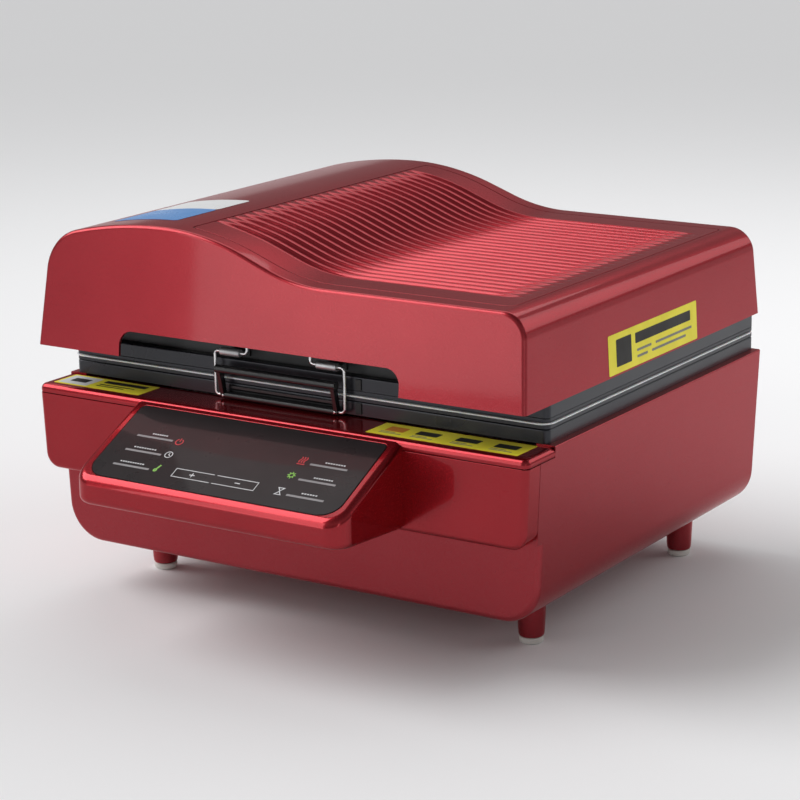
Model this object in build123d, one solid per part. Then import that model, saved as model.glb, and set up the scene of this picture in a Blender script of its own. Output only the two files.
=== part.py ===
"""Vacuum sublimation heat press: a base with a vacuum well, a hinged membrane frame and a
hinged heating lid, held shut by a wire latch.

Millimetres. +Z is up, +X runs across the front and -Y faces the operator. The origin lies on the
floor, under the middle of the machine's outline.
"""
from build123d import *
import math
import os

os.makedirs("parts", exist_ok=True)

# ----------------------------------------------------------------- driving dimensions
# Clearances
SEAT = 0.1                 # between two fixed pieces that are screwed face to face
CURVED_SEAT = 0.25         # the same, where the faces are curved
RUNNING = 0.05             # radial, pin or wire in its bore
OPENING_GAP = 0.4          # between closed frames that lift apart

# Work area and the three stacked frames
WORK_W = 420.0             # across
WORK_D = 300.0             # front to back
BORDER_W = 64.0            # frame face at each side of the work area
BORDER_D = 65.0            # frame face before and behind it
FRAME_CORNER_R = 6.0
WORK_CORNER_R = 14.0
LOWER_FRAME_H = 13.2
MEMBRANE_FRAME_H = 4.2
MEMBRANE_T = 1.4
CLAMP_H = 3.8
LID_FRAME_H = 13.4
MEMBRANE_LIP_X = 2.0       # membrane edge standing out at the sides
MEMBRANE_LIP_Y = 3.5       # and at the front
GASKET_W = 7.6
GASKET_INSET = 14.0        # from the work opening to the gasket
GASKET_H = 3.6

# Base
BASE_OVERHANG = 8.0        # base sides outside the frames
BASE_TAPER = 8.0           # each side leans in by this much down to the floor line
BASE_TOP_Z = 217.0
BASE_FLOOR_Z = 48.0        # underside, carried on the feet
BASE_CORNER_R = 40.0
SHEET_T = 1.5
MOULDING_T = 3.0
LEDGE_D = 50.0             # ledge in front of the frames
LEDGE_Z = 215.5
CAP_H = 8.6
CAP_SEAM = 0.6
HOUSING_D = 24.0           # moulded front housing
HOUSING_FOOT_Z = 129.0
HOUSING_FOOT_R = 16.0      # lower corners of the housing, seen from the front
FRONT_EDGE_R = 6.0         # round along the front edges of housing and base
CAP_RIM_R = 2.5
LOWER_FRONT_SETBACK = 30.0
PANEL_FLANGE_D = 12.0
SHELL_FLANGE_W = 20.0

# Feet
FOOT_INSET = 54.0          # from the base's side
FOOT_FROM_FRONT = 114.0
FOOT_SPACING = 310.0
FOOT_TOP_R = 14.5
FOOT_LOW_R = 12.4
FOOT_TIP_R = 11.8
FOOT_TIP_H = 7.0

# Control console
CONSOLE_W = 308.0
CONSOLE_X = -3.0
CONSOLE_REACH = 103.0      # how far it stands out of the front
CONSOLE_TILT = 26.3        # degrees, slope of the face
CONSOLE_TOP_Z = 213.9
CONSOLE_LOW_Z = 131.0      # underside at the housing
CONSOLE_NOSE_Z = 137.0     # underside at the nose
CONSOLE_CORNER_R = 20.0
CONSOLE_EDGE_R = 6.0
TOUCH_W = 284.0
TOUCH_L = 102.0
TOUCH_START = 5.0          # down the slope from the ledge
TOUCH_T = 1.8
TOUCH_PROUD = 0.4
TOUCH_NEAR_R = 19.0
TOUCH_FAR_R = 6.0

# Vacuum well
TRAY_DEPTH = 90.0
TRAY_FLANGE_W = 30.0
PLATEN_T = 3.0
PLATEN_RISE = 11.0         # above the tray floor
PLATEN_HOLE_R = 2.5
PLATEN_COLUMN_COUNT = 6
PLATEN_ROW_COUNT = 4
PLATEN_RAIL_W = 8.0
PORT_R = 5.0
PORT_L = 18.0              # spigot below the tray

# Lid
LID_OVERHANG = 5.6         # lid sides outside the frames
LID_REAR_OVERHANG = 1.0
LID_BOTTOM_Z = 255.5
LID_LEAN_LEFT = 6.0        # degrees
LID_LEAN_RIGHT = 3.2
LID_LEAN_ENDS = 5.65       # front and rear walls
LID_WALL = 3.0
HUMP_FROM_LEFT = 148.9     # peak of the hump from the lid's left foot
HUMP_Z = 385.0
HUMP_R_LEFT = 452.0
HUMP_R_RIGHT = 275.0
HUMP_SLOPE = 20.8          # degrees, steepest part of the wave
VALLEY_R = 180.0
DECK_Z = 345.0             # flat part of the top
SHOULDER_R_LEFT = 46.0
SHOULDER_R_RIGHT = 25.0
LID_EDGE_R = 4.0
WINDOW_FROM_LEFT = 102.6   # latch window in the front wall
WINDOW_FROM_RIGHT = 132.6
WINDOW_TOP_Z = 281.0
WINDOW_CORNER_R = 15.0

# Ribbed top cover
COVER_FROM_PEAK = 23.7     # left seam, right of the hump's peak
COVER_FROM_RIGHT = 29.6    # right seam, from the lid's right foot
COVER_INSET_Y = 30.0       # from the lid's front and rear edges
COVER_GAP = 0.7
COVER_FLANGE_W = 6.0
COVER_FLANGE_T = 2.5
COVER_CORNER_R = 8.0
GROOVE_COUNT = 25
GROOVE_PITCH = 14.25
GROOVE_R = 7.4
GROOVE_DEPTH = 3.0
GROOVE_FROM_LEFT = 45.0    # full depth begins, from the left seam
GROOVE_FROM_RIGHT = 54.0   # and ends, from the right seam
GROOVE_RUNOUT_R = 230.0

# Heating unit in the lid
BOX_SETBACK = 10.0         # box walls behind the frame's outer faces
BOX_TOP_Z = 332.0
REFLECTOR_GAP = 4.0
REFLECTOR_H = 26.0
REFLECTOR_FLARE = 12.0
REFLECTOR_T = 1.0
PROBE_X = 120.0
PROBE_R = 3.0
PROBE_L = 50.0
TUBE_COUNT = 6
TUBE_R = 6.0
TUBE_DROP = 20.0           # axis below the box roof
CAP_R = 9.0
CAP_L = 16.0
RAIL_H = 46.0
RAIL_T = 2.0
GUARD_DROP = 38.0
GUARD_WIRE = 2.4
GUARD_ACROSS_COUNT = 7
GUARD_ALONG_COUNT = 8
GUARD_BORDER = 4.0
INSULATION_T = 5.0
BRACKET_W = 40.0           # side angles between the lid's skin and the box
BRACKET_H = 30.0
SHELF_W = 50.0             # front angles above the latch window
SHELF_H = 22.0

# Hinges at the rear
HINGE_INSET = 94.0         # hinge centre from the frame's side
HINGE_LEAF_H = 46.0        # base leaf below the pin axis
HINGE_SETBACK = 6.0        # pin axis behind the frames
KNUCKLE_R = 5.5
KNUCKLE_L = 15.0
KNUCKLE_GAP = 0.5
PIN_R = 2.5
LEAF_T = 2.2

# Wire latch at the front
LATCH_X = -16.5
WIRE_R = 1.5
WIRE_BEND_R = 4.0
WIRE_SPREAD = 75.5         # outer legs from the latch centre
WIRE_INNER = 37.0          # inner legs
WIRE_SETBACK = 43.0        # wire plane behind the lid's front edge
BARREL_Z = 263.0
BARREL_R = 4.2
BARREL_IN = 45.0
BARREL_OUT = 68.0
LEG_TOP_Z = 284.0
LEVER_Z = 219.5            # pivot of the lever on the wires
LEVER_TUBE_R = 3.2
LEVER_HALF_W = 68.5
GRIP_Z = 246.5
GRIP_R = 4.2
GRIP_FORWARD = 6.0         # grip axis in front of the wires
ARM_T = 4.0
ARM_EASE = 0.6             # arm edges inside the tube's and the grip's round
CATCH_T = 2.0
CATCH_H = 12.5
CATCH_LIP = 1.0

# Rear panel fittings
INLET_INSET = 87.0         # from the base's side
INLET_W = 26.8
INLET_H = 19.2
INLET_FLANGE_W = 48.0
SWITCH_PITCH = 45.0        # inlet to switch
FUSE_PITCH = 32.0          # switch to fuse holder
FITTING_Z = 120.0
ROCKER_W = 13.0
ROCKER_L = 20.0
ROCKER_TILT = 9.0
FAN_INSET = 132.0          # from the base's side
FAN_Z = 118.0
FAN_SIZE = 80.0
FAN_D = 25.0
FAN_HUB_R = 17.0
FAN_BLADE_COUNT = 7
FAN_SLOT_COUNT = 7
FAN_SLOT_PITCH = 10.0
FAN_SLOT_H = 5.0
LOUVRE_COUNT = 9
LOUVRE_L = 110.0
LOUVRE_H = 4.0
LOUVRE_PITCH = 11.0

# Pump, valve and electronics on the base floor
PUMP_RISE = 37.0           # pump axis above the floor sheet
PUMP_HEAD_FROM_PORT = 58.0
PUMP_HEAD_L = 46.0
PUMP_HEAD_W = 60.0
PUMP_MOTOR_L = 82.0
PUMP_MOTOR_R = 29.0
PUMP_SPIGOT_L = 16.0
HOSE_R = 7.0
HOSE_BEND_R = 18.0
VALVE_FROM_PORT = 70.0
VALVE_COIL_R = 13.0
VALVE_BODY_H = 16.0
BOARD_L = 120.0            # control board
BOARD_W = 110.0
BOARD_INSET = 72.0         # from the base's side
BOARD_FROM_FRONT = 90.0
BOARD_T = 1.6
BOARD_STANDOFF = 8.0
MODULE_L = 70.0            # heater relay on its heat sink
MODULE_D = 90.0
MODULE_INSET = 92.0        # from the base's side
MODULE_FROM_FRONT = 250.0
MODULE_FIN_COUNT = 7

# ----------------------------------------------------------------- derived places
FRAME_W = WORK_W + 2 * BORDER_W
FRAME_D = WORK_D + 2 * BORDER_D
BODY_D = LEDGE_D + FRAME_D
HINGE_REACH = BODY_D + HINGE_SETBACK + KNUCKLE_R
FRONT_Y = (CONSOLE_REACH - HINGE_REACH) / 2
REAR_Y = FRONT_Y + BODY_D
FRAME_FRONT_Y = FRONT_Y + LEDGE_D
WORK_Y = FRAME_FRONT_Y + FRAME_D / 2
HINGE_Y = REAR_Y + HINGE_SETBACK
HINGE_X = FRAME_W / 2 - HINGE_INSET

BASE_TOP_HALF_W = FRAME_W / 2 + BASE_OVERHANG
BASE_FLOOR_HALF_W = BASE_TOP_HALF_W - BASE_TAPER
FLOOR_TOP_Z = BASE_FLOOR_Z + SHEET_T + SEAT
FOOT_X = BASE_FLOOR_HALF_W - FOOT_INSET
INLET_X = -BASE_TOP_HALF_W + INLET_INSET
SWITCH_X = INLET_X + SWITCH_PITCH
FUSE_X = SWITCH_X + FUSE_PITCH
FAN_X = BASE_TOP_HALF_W - FAN_INSET
FAN_REAR_Y = REAR_Y - SHEET_T - SEAT
ROCKER_AXIS_Y = REAR_Y - 4.0
PUMP_Y = WORK_Y
PUMP_Z = BASE_FLOOR_Z + SHEET_T + PUMP_RISE
PUMP_HEAD_X = -PUMP_HEAD_FROM_PORT

LOWER_FRAME_Z = BASE_TOP_Z + SEAT
LOWER_FRAME_TOP = LOWER_FRAME_Z + LOWER_FRAME_H
MEMBRANE_FRAME_Z = LOWER_FRAME_TOP + OPENING_GAP + 0.3
MEMBRANE_Z = MEMBRANE_FRAME_Z + MEMBRANE_FRAME_H + SEAT
CLAMP_Z = MEMBRANE_Z + MEMBRANE_T + SEAT
LID_FRAME_Z = CLAMP_Z + CLAMP_H + OPENING_GAP
LID_FRAME_TOP = LID_FRAME_Z + LID_FRAME_H
HINGE_Z = MEMBRANE_Z + MEMBRANE_T / 2
TRAY_TOP_Z = LOWER_FRAME_Z - SEAT
TRAY_FLOOR_Z = TRAY_TOP_Z - TRAY_DEPTH
PLATEN_Z = TRAY_FLOOR_Z + SHEET_T + PLATEN_RISE
PLATEN_TOP = PLATEN_Z + PLATEN_T

LID_HALF_W = FRAME_W / 2 + LID_OVERHANG
LID_REAR_Y = REAR_Y + LID_REAR_OVERHANG
LID_MID_Y = (FRONT_Y + LID_REAR_Y) / 2
HUMP_X = -LID_HALF_W + HUMP_FROM_LEFT
WINDOW_X0 = -LID_HALF_W + WINDOW_FROM_LEFT
WINDOW_X1 = LID_HALF_W - WINDOW_FROM_RIGHT
COVER_X0 = HUMP_X + COVER_FROM_PEAK
COVER_X1 = LID_HALF_W - COVER_FROM_RIGHT
GROOVE_LEFT_X = COVER_X0 + GROOVE_FROM_LEFT
GROOVE_RIGHT_X = COVER_X1 - GROOVE_FROM_RIGHT
COVER_DEPTH = LID_WALL + CURVED_SEAT + COVER_FLANGE_T
BOX_HALF_W = FRAME_W / 2 - BOX_SETBACK
BOX_FRONT_Y = FRAME_FRONT_Y + BOX_SETBACK
BOX_D = FRAME_D - 2 * BOX_SETBACK
BOX_FOOT_Z = LID_FRAME_TOP + SEAT
TUBE_Z = BOX_TOP_Z - SHEET_T - TUBE_DROP
TUBE_PITCH = BOX_D / (TUBE_COUNT + 0.6)
TUBE_MID_Y = BOX_FRONT_Y + BOX_D / 2
RAIL_X = BOX_HALF_W - SHEET_T - 34.0
GUARD_Z = BOX_TOP_Z - SHEET_T - GUARD_DROP - GUARD_WIRE
PROBE_Z = GUARD_Z - 3 * PROBE_R
CLEAR_OF_KNUCKLES = KNUCKLE_R + 1.2
WIRE_Y = FRONT_Y + WIRE_SETBACK
LEVER_BOTTOM = LEVER_Z - LEVER_TUBE_R

# Steepest part of the wave, from the hump's right end to the valley's start
SLOPE_RAD = math.radians(HUMP_SLOPE)
HUMP_END_X = HUMP_X + HUMP_R_RIGHT * math.sin(SLOPE_RAD)
HUMP_END_Z = HUMP_Z - HUMP_R_RIGHT * (1 - math.cos(SLOPE_RAD))
VALLEY_START_Z = DECK_Z + VALLEY_R * (1 - math.cos(SLOPE_RAD))
VALLEY_START_X = HUMP_END_X + (HUMP_END_Z - VALLEY_START_Z) / math.tan(SLOPE_RAD)
VALLEY_END_X = VALLEY_START_X + VALLEY_R * math.sin(SLOPE_RAD)

# Console face
TILT_RAD = math.radians(CONSOLE_TILT)
CONSOLE_BACK_Y = FRONT_Y - SEAT
CONSOLE_NOSE_Y = FRONT_Y - CONSOLE_REACH
FACE = Plane(
    origin=(CONSOLE_X, CONSOLE_BACK_Y, CONSOLE_TOP_Z),
    x_dir=(1, 0, 0),
    z_dir=(0, -math.sin(TILT_RAD), math.cos(TILT_RAD)),
)


# ----------------------------------------------------------------- helpers
def along_x(sketch, x0, x1):
    """Extrude an outline drawn in Y and Z from x0 to x1."""
    return extrude(Pos(x0, 0, 0) * (Plane.YZ * sketch), x1 - x0, dir=(1, 0, 0))


def along_y(sketch, y0, y1):
    """Extrude an outline drawn in X and Z from y0 to y1."""
    return extrude(Pos(0, y0, 0) * (Plane.XZ * sketch), y1 - y0, dir=(0, 1, 0))


def plate(width, depth, corner_r, centre, z0, z1):
    """Flat plate with rounded corners from z0 up to z1."""
    return Pos(centre[0], centre[1], z0) * extrude(RectangleRounded(width, depth, corner_r), z1 - z0)


def block(x0, x1, y0, y1, z0, z1):
    """Plain block between two corners."""
    centre = Pos((x0 + x1) / 2, (y0 + y1) / 2, (z0 + z1) / 2)
    return centre * Box(x1 - x0, y1 - y0, z1 - z0)


def post(radius, x, y, z0, z1):
    """Upright round post."""
    return Pos(x, y, (z0 + z1) / 2) * Cylinder(radius, z1 - z0)


def rod_x(radius, x0, x1, y, z):
    """Round bar along X."""
    return Pos((x0 + x1) / 2, y, z) * Rot(0, 90, 0) * Cylinder(radius, x1 - x0)


def rod_y(radius, y0, y1, x, z):
    """Round bar along Y."""
    return Pos(x, (y0 + y1) / 2, z) * Rot(90, 0, 0) * Cylinder(radius, y1 - y0)


def ring_frame(grow_x, grow_y, z0, z1, edge_r):
    """Flat frame round the work opening, with its long edges eased."""
    outer = plate(FRAME_W + 2 * grow_x, FRAME_D + 2 * grow_y, FRAME_CORNER_R, (0, WORK_Y), z0, z1)
    outer = fillet(outer.faces().sort_by(Axis.Z)[-1].edges(), edge_r)
    inner = plate(WORK_W, WORK_D, WORK_CORNER_R, (0, WORK_Y), z0 - 1, z1 + 1)
    return outer - inner


def spread(count, pitch):
    """Evenly spaced places about zero."""
    return [(i - (count - 1) / 2) * pitch for i in range(count)]


# ----------------------------------------------------------------- base
def base_outline(inset):
    """Cross-section of the base: leaning sides and rounded lower corners."""
    top_z = BASE_TOP_Z
    low_z = BASE_FLOOR_Z + inset
    lean = (BASE_TOP_HALF_W - BASE_FLOOR_HALF_W) / (BASE_TOP_Z - BASE_FLOOR_Z)
    low_x = BASE_FLOOR_HALF_W + lean * inset - inset
    top_x = BASE_TOP_HALF_W - inset
    corners = [(-top_x, top_z), (-low_x, low_z), (low_x, low_z), (top_x, top_z)]
    face = make_face(Polyline(*corners, close=True))
    lower = face.vertices().sort_by(Axis.Y)[:2]
    return fillet(lower, BASE_CORNER_R - inset)


def base_form(inset, y0, y1, z0, z1):
    """Slice of the base's outer form between two depths and two heights."""
    bounds = block(-BASE_TOP_HALF_W, BASE_TOP_HALF_W, y0, y1, z0, z1)
    return along_y(base_outline(inset), y0, y1) & bounds


def front_edges(body):
    """Outer edges of a body's front face, without the top one."""
    edges = body.faces().sort_by(Axis.Y)[0].outer_wire().edges().sort_by(Axis.Z)
    return edges[:-1]


def lower_tub(inset, z1):
    """Lower part of the base's form, set back in front and rounded there."""
    front_y = FRONT_Y + LOWER_FRONT_SETBACK + inset
    body = base_form(inset, front_y, REAR_Y, BASE_FLOOR_Z, z1)
    return fillet(front_edges(body), FRONT_EDGE_R - inset)


def base_shell():
    """Pressed tub: floor, sides, set-back front and the flanges that carry the frame."""
    y0 = FRONT_Y + HOUSING_D + CURVED_SEAT
    y1 = REAR_Y
    front_y = FRONT_Y + LOWER_FRONT_SETBACK
    seam_z = HOUSING_FOOT_Z - CURVED_SEAT
    front_top = HOUSING_FOOT_Z + HOUSING_FOOT_R + MOULDING_T
    shell = lower_tub(0, seam_z) + base_form(0, y0, y1, seam_z, BASE_TOP_Z)
    shell -= lower_tub(SHEET_T, seam_z)
    shell -= base_form(SHEET_T, front_y + SHEET_T, y1, seam_z, BASE_TOP_Z)
    shell -= base_form(SHEET_T, y0, front_y, seam_z, BASE_TOP_Z)
    shell -= base_form(SHEET_T, front_y, front_y + SHEET_T, front_top, BASE_TOP_Z)
    for side in (-1, 1):
        x_out = side * (BASE_TOP_HALF_W - SHEET_T)
        x_in = side * (BASE_TOP_HALF_W - SHELL_FLANGE_W)
        x0, x1 = sorted((x_in, x_out))
        shell += block(x0, x1, FRAME_FRONT_Y, y1, BASE_TOP_Z - SHEET_T, BASE_TOP_Z)
    cap_seat_z = LEDGE_Z - CAP_H - CAP_SEAM
    return shell - block(-BASE_TOP_HALF_W, BASE_TOP_HALF_W, y0, FRAME_FRONT_Y, cap_seat_z, BASE_TOP_Z)


def housing_form(inset, y0, y1, z1):
    """Upright slice of the base's form whose lower corners are rounded."""
    low_z = HOUSING_FOOT_Z + inset
    slice_form = base_form(inset, y0, y1, low_z, z1)
    lower = [e for e in slice_form.edges().filter_by(Axis.Y) if e.center().Z < low_z + 0.1]
    return fillet(lower, HOUSING_FOOT_R - inset)


def front_housing():
    """Moulded housing across the upper front, open behind and on top."""
    y0 = FRONT_Y
    y1 = FRONT_Y + HOUSING_D
    top = LEDGE_Z - CAP_H - CAP_SEAM
    body = housing_form(0, y0, y1, top)
    body = fillet(front_edges(body), FRONT_EDGE_R)
    wall = MOULDING_T
    body -= housing_form(wall, y0 + wall, y1, top)
    tongue_y1 = FRONT_Y + LOWER_FRONT_SETBACK - CURVED_SEAT
    tongue = base_form(SHEET_T + CURVED_SEAT, y1, tongue_y1, HOUSING_FOOT_Z, HOUSING_FOOT_Z + wall)
    reach = BASE_FLOOR_HALF_W - HOUSING_FOOT_R
    tongue &= block(-reach, reach, y1, tongue_y1, HOUSING_FOOT_Z, HOUSING_FOOT_Z + wall)
    mouth_w = CONSOLE_W - 6 * wall
    mouth_z0 = CONSOLE_NOSE_Z + 2 * wall
    mouth_z1 = top - 2 * wall
    mouth = Pos(CONSOLE_X, (mouth_z0 + mouth_z1) / 2) * RectangleRounded(mouth_w, mouth_z1 - mouth_z0, wall)
    return body + tongue - along_y(mouth, y0 - wall, y0 + 2 * wall)


def ledge_cap():
    """Cap over the housing that makes the ledge in front of the frames."""
    y0 = FRONT_Y
    y1 = FRAME_FRONT_Y - SEAT
    z0 = LEDGE_Z - CAP_H
    body = base_form(0, y0, y1, z0, LEDGE_Z)
    upright = [e for e in body.edges() if abs(e.center().Y - y0) < 0.1 and e.length < 2 * CAP_H]
    body = fillet(upright, FRONT_EDGE_R)
    wall = MOULDING_T
    body -= base_form(wall, y0 + wall, y1, z0, LEDGE_Z - wall)
    rim = [e for e in body.faces().sort_by(Axis.Z)[-1].edges() if e.center().Y < y1 - 1]
    return fillet(rim, CAP_RIM_R)


def closing_pan(face_y, direction, top_z):
    """Sheet pan that closes one end of the wrap, its flange turned inwards."""
    inset = SHEET_T + CURVED_SEAT
    y_skin = face_y + direction * SHEET_T
    y_flange = face_y + direction * PANEL_FLANGE_D
    low = BASE_FLOOR_Z
    pan = base_form(inset, min(face_y, y_flange), max(face_y, y_flange), low, top_z)
    hollow = base_form(inset + SHEET_T, min(y_skin, y_flange), max(y_skin, y_flange), low, top_z)
    return pan - hollow


def fan_slots():
    """Horizontal air slots filling a circle in front of the fan."""
    radius = FAN_SIZE / 2 - 4
    slots = []
    for z in spread(FAN_SLOT_COUNT, FAN_SLOT_PITCH):
        half = math.sqrt(radius**2 - z**2)
        slots.append(Pos(FAN_X, FAN_Z + z) * SlotOverall(2 * half, FAN_SLOT_H))
    return slots


def rear_panel():
    """Rear sheet with the air slots and the openings for the mains fittings."""
    panel = closing_pan(REAR_Y, -1, BASE_TOP_Z - SHEET_T - CURVED_SEAT)
    cuts = fan_slots()
    for z in spread(LOUVRE_COUNT, LOUVRE_PITCH):
        cuts.append(Pos(0, FITTING_Z + z) * Rectangle(LOUVRE_L, LOUVRE_H))
    cuts.append(Pos(INLET_X, FITTING_Z) * RectangleRounded(INLET_W + 0.6, INLET_H + 0.6, 3.0))
    cuts.append(Pos(SWITCH_X, FITTING_Z) * Rectangle(ROCKER_W + 6.2, ROCKER_L + 7.2))
    cuts.append(Pos(FUSE_X, FITTING_Z) * Circle(6.2))
    for cut in cuts:
        panel -= along_y(cut, REAR_Y - 3 * SHEET_T, REAR_Y + SHEET_T)
    return panel


def foot_places():
    """Centres of the four feet."""
    rows = (FRONT_Y + FOOT_FROM_FRONT, FRONT_Y + FOOT_FROM_FRONT + FOOT_SPACING)
    return [(x, y) for y in rows for x in (-FOOT_X, FOOT_X)]


def feet():
    """Tapered feet screwed under the floor."""
    profile = make_face(Polyline(
        (0, FOOT_TIP_H), (FOOT_LOW_R, FOOT_TIP_H), (FOOT_TOP_R, BASE_FLOOR_Z - SEAT),
        (0, BASE_FLOOR_Z - SEAT), close=True))
    foot = revolve(Plane.XZ * profile, Axis.Z)
    return [Pos(x, y, 0) * foot for x, y in foot_places()]


def foot_tips():
    """Soft tips that the machine stands on."""
    top = FOOT_TIP_H - SEAT
    profile = make_face(Polyline(
        (0, 0), (FOOT_TIP_R - 1.5, 0), (FOOT_TIP_R, 1.5), (FOOT_TIP_R, top), (0, top), close=True))
    tip = revolve(Plane.XZ * profile, Axis.Z)
    return [Pos(x, y, 0) * tip for x, y in foot_places()]


# ----------------------------------------------------------------- console
def console_form(inset):
    """Solid wedge of the console, shrunk by an inset on every side but the back."""
    nose_y = CONSOLE_NOSE_Y + inset
    drop = inset / math.cos(TILT_RAD)
    top_z = CONSOLE_TOP_Z - drop
    nose_top = top_z - (CONSOLE_BACK_Y - nose_y) * math.tan(TILT_RAD)
    back = CONSOLE_BACK_Y
    side = Polyline(
        (back, CONSOLE_LOW_Z + inset), (nose_y, CONSOLE_NOSE_Z + inset),
        (nose_y, nose_top), (back, top_z), close=True)
    half = CONSOLE_W / 2 - inset
    wedge = along_x(make_face(side), CONSOLE_X - half, CONSOLE_X + half)
    upright = [e for e in wedge.edges().filter_by(Axis.Z) if abs(e.center().Y - nose_y) < 0.1]
    wedge = fillet(upright, CONSOLE_CORNER_R - inset)
    if inset == 0:
        rim = [e for e in wedge.edges() if e.center().Y < back - 1]
        wedge = fillet(rim, CONSOLE_EDGE_R)
    return wedge


def touch_outline(grow):
    """Outline of the touch panel, with larger corners towards the operator."""
    half = TOUCH_W / 2 + grow
    top = -TOUCH_START + grow
    low = -TOUCH_START - TOUCH_L - grow
    face = make_face(Polyline((-half, top), (-half, low), (half, low), (half, top), close=True))
    face = fillet(face.vertices().sort_by(Axis.Y)[:2], TOUCH_NEAR_R)
    return fillet(face.vertices().sort_by(Axis.Y)[-2:], TOUCH_FAR_R)


def console_housing():
    """Hollow console with the recess for its touch panel."""
    shell = console_form(0) - console_form(MOULDING_T)
    depth = TOUCH_T - TOUCH_PROUD + SEAT
    recess = FACE.offset(-depth) * extrude(touch_outline(CURVED_SEAT), 3 * MOULDING_T)
    return shell - recess


def touch_panel():
    """Flat touch panel set in the console's slope."""
    panel = extrude(touch_outline(0), TOUCH_T)
    panel = chamfer(panel.faces().sort_by(Axis.Z)[-1].edges(), TOUCH_PROUD)
    return FACE.offset(TOUCH_PROUD - TOUCH_T) * panel


def display_board():
    """Circuit board under the touch panel, on four standoffs."""
    width = TOUCH_W - 60
    length = TOUCH_L - 44
    middle = -TOUCH_START - TOUCH_L / 2
    standoff = 6.0
    board = Pos(0, middle, 0) * extrude(Rectangle(width, length), 1.6)
    for x in (-width / 2 + 8, width / 2 - 8):
        for y in (middle - length / 2 + 8, middle + length / 2 - 8):
            board += Pos(x, y, 1.6 + standoff / 2) * Cylinder(3, standoff)
    screen = Pos(0, middle + 4, 1.6) * extrude(Rectangle(70, 26), 4.0)
    return FACE.offset(-MOULDING_T - SEAT - standoff - 1.6) * (board + screen)


# ----------------------------------------------------------------- vacuum well
def lower_frame():
    """Frame on the base that the membrane frame closes on, grooved for the gasket."""
    frame = ring_frame(0, 0, LOWER_FRAME_Z, LOWER_FRAME_TOP, 1.5)
    return frame - gasket_ring(SEAT, LOWER_FRAME_TOP - GASKET_H + 0.3 - SEAT, LOWER_FRAME_TOP + 1)


def gasket_ring(grow, z0, z1):
    """Ring round the work opening, wider by a clearance at both edges."""
    inner_w = WORK_W + 2 * GASKET_INSET - 2 * grow
    inner_d = WORK_D + 2 * GASKET_INSET - 2 * grow
    outer_w = inner_w + 2 * GASKET_W + 4 * grow
    outer_d = inner_d + 2 * GASKET_W + 4 * grow
    outer = plate(outer_w, outer_d, WORK_CORNER_R + GASKET_INSET + GASKET_W, (0, WORK_Y), z0, z1)
    return outer - plate(inner_w, inner_d, WORK_CORNER_R + GASKET_INSET, (0, WORK_Y), z0 - 1, z1 + 1)


def base_gasket():
    """Rubber seal standing a little out of its groove."""
    z1 = LOWER_FRAME_TOP + 0.3
    return gasket_ring(0, z1 - GASKET_H, z1)


def vacuum_tray():
    """Pressed pan hung under the lower frame."""
    flange_w = WORK_W + 2 * TRAY_FLANGE_W
    flange_d = WORK_D + 2 * TRAY_FLANGE_W
    centre = (0, WORK_Y)
    tray = plate(flange_w, flange_d, WORK_CORNER_R, centre, TRAY_TOP_Z - SHEET_T, TRAY_TOP_Z)
    tray += plate(WORK_W + 2 * SHEET_T, WORK_D + 2 * SHEET_T, WORK_CORNER_R + SHEET_T, centre,
                  TRAY_FLOOR_Z, TRAY_TOP_Z)
    tray -= plate(WORK_W, WORK_D, WORK_CORNER_R, centre, TRAY_FLOOR_Z + SHEET_T, TRAY_TOP_Z + 1)
    return tray - post(PORT_R + RUNNING, 0, WORK_Y, TRAY_FLOOR_Z - 1, TRAY_FLOOR_Z + 3)


def platen():
    """Perforated work plate on two rails."""
    margin = 1.5
    top = plate(WORK_W - 2 * margin, WORK_D - 2 * margin, WORK_CORNER_R - margin, (0, WORK_Y),
                PLATEN_Z, PLATEN_TOP)
    for x in spread(PLATEN_COLUMN_COUNT, WORK_W / PLATEN_COLUMN_COUNT):
        for y in spread(PLATEN_ROW_COUNT, WORK_D / PLATEN_ROW_COUNT):
            top -= post(PLATEN_HOLE_R, x, WORK_Y + y, PLATEN_Z - 1, PLATEN_TOP + 1)
    rail_z = TRAY_FLOOR_Z + SHEET_T + SEAT
    half = WORK_D / 2 - 2 * WORK_CORNER_R
    for x in (-WORK_W / 4, WORK_W / 4):
        x0 = x - PLATEN_RAIL_W / 2
        top += block(x0, x0 + PLATEN_RAIL_W, WORK_Y - half, WORK_Y + half, rail_z, PLATEN_Z)
    return top


def vacuum_port():
    """Flanged spigot through the tray floor."""
    stem = post(PORT_R, 0, WORK_Y, TRAY_FLOOR_Z - PORT_L, TRAY_FLOOR_Z + SHEET_T + 3)
    flange = post(3 * PORT_R, 0, WORK_Y, TRAY_FLOOR_Z - SEAT - 3, TRAY_FLOOR_Z - SEAT)
    bore = post(PORT_R - 1.5, 0, WORK_Y, TRAY_FLOOR_Z - PORT_L - 1, TRAY_FLOOR_Z + SHEET_T + 4)
    return stem + flange - bore


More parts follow.
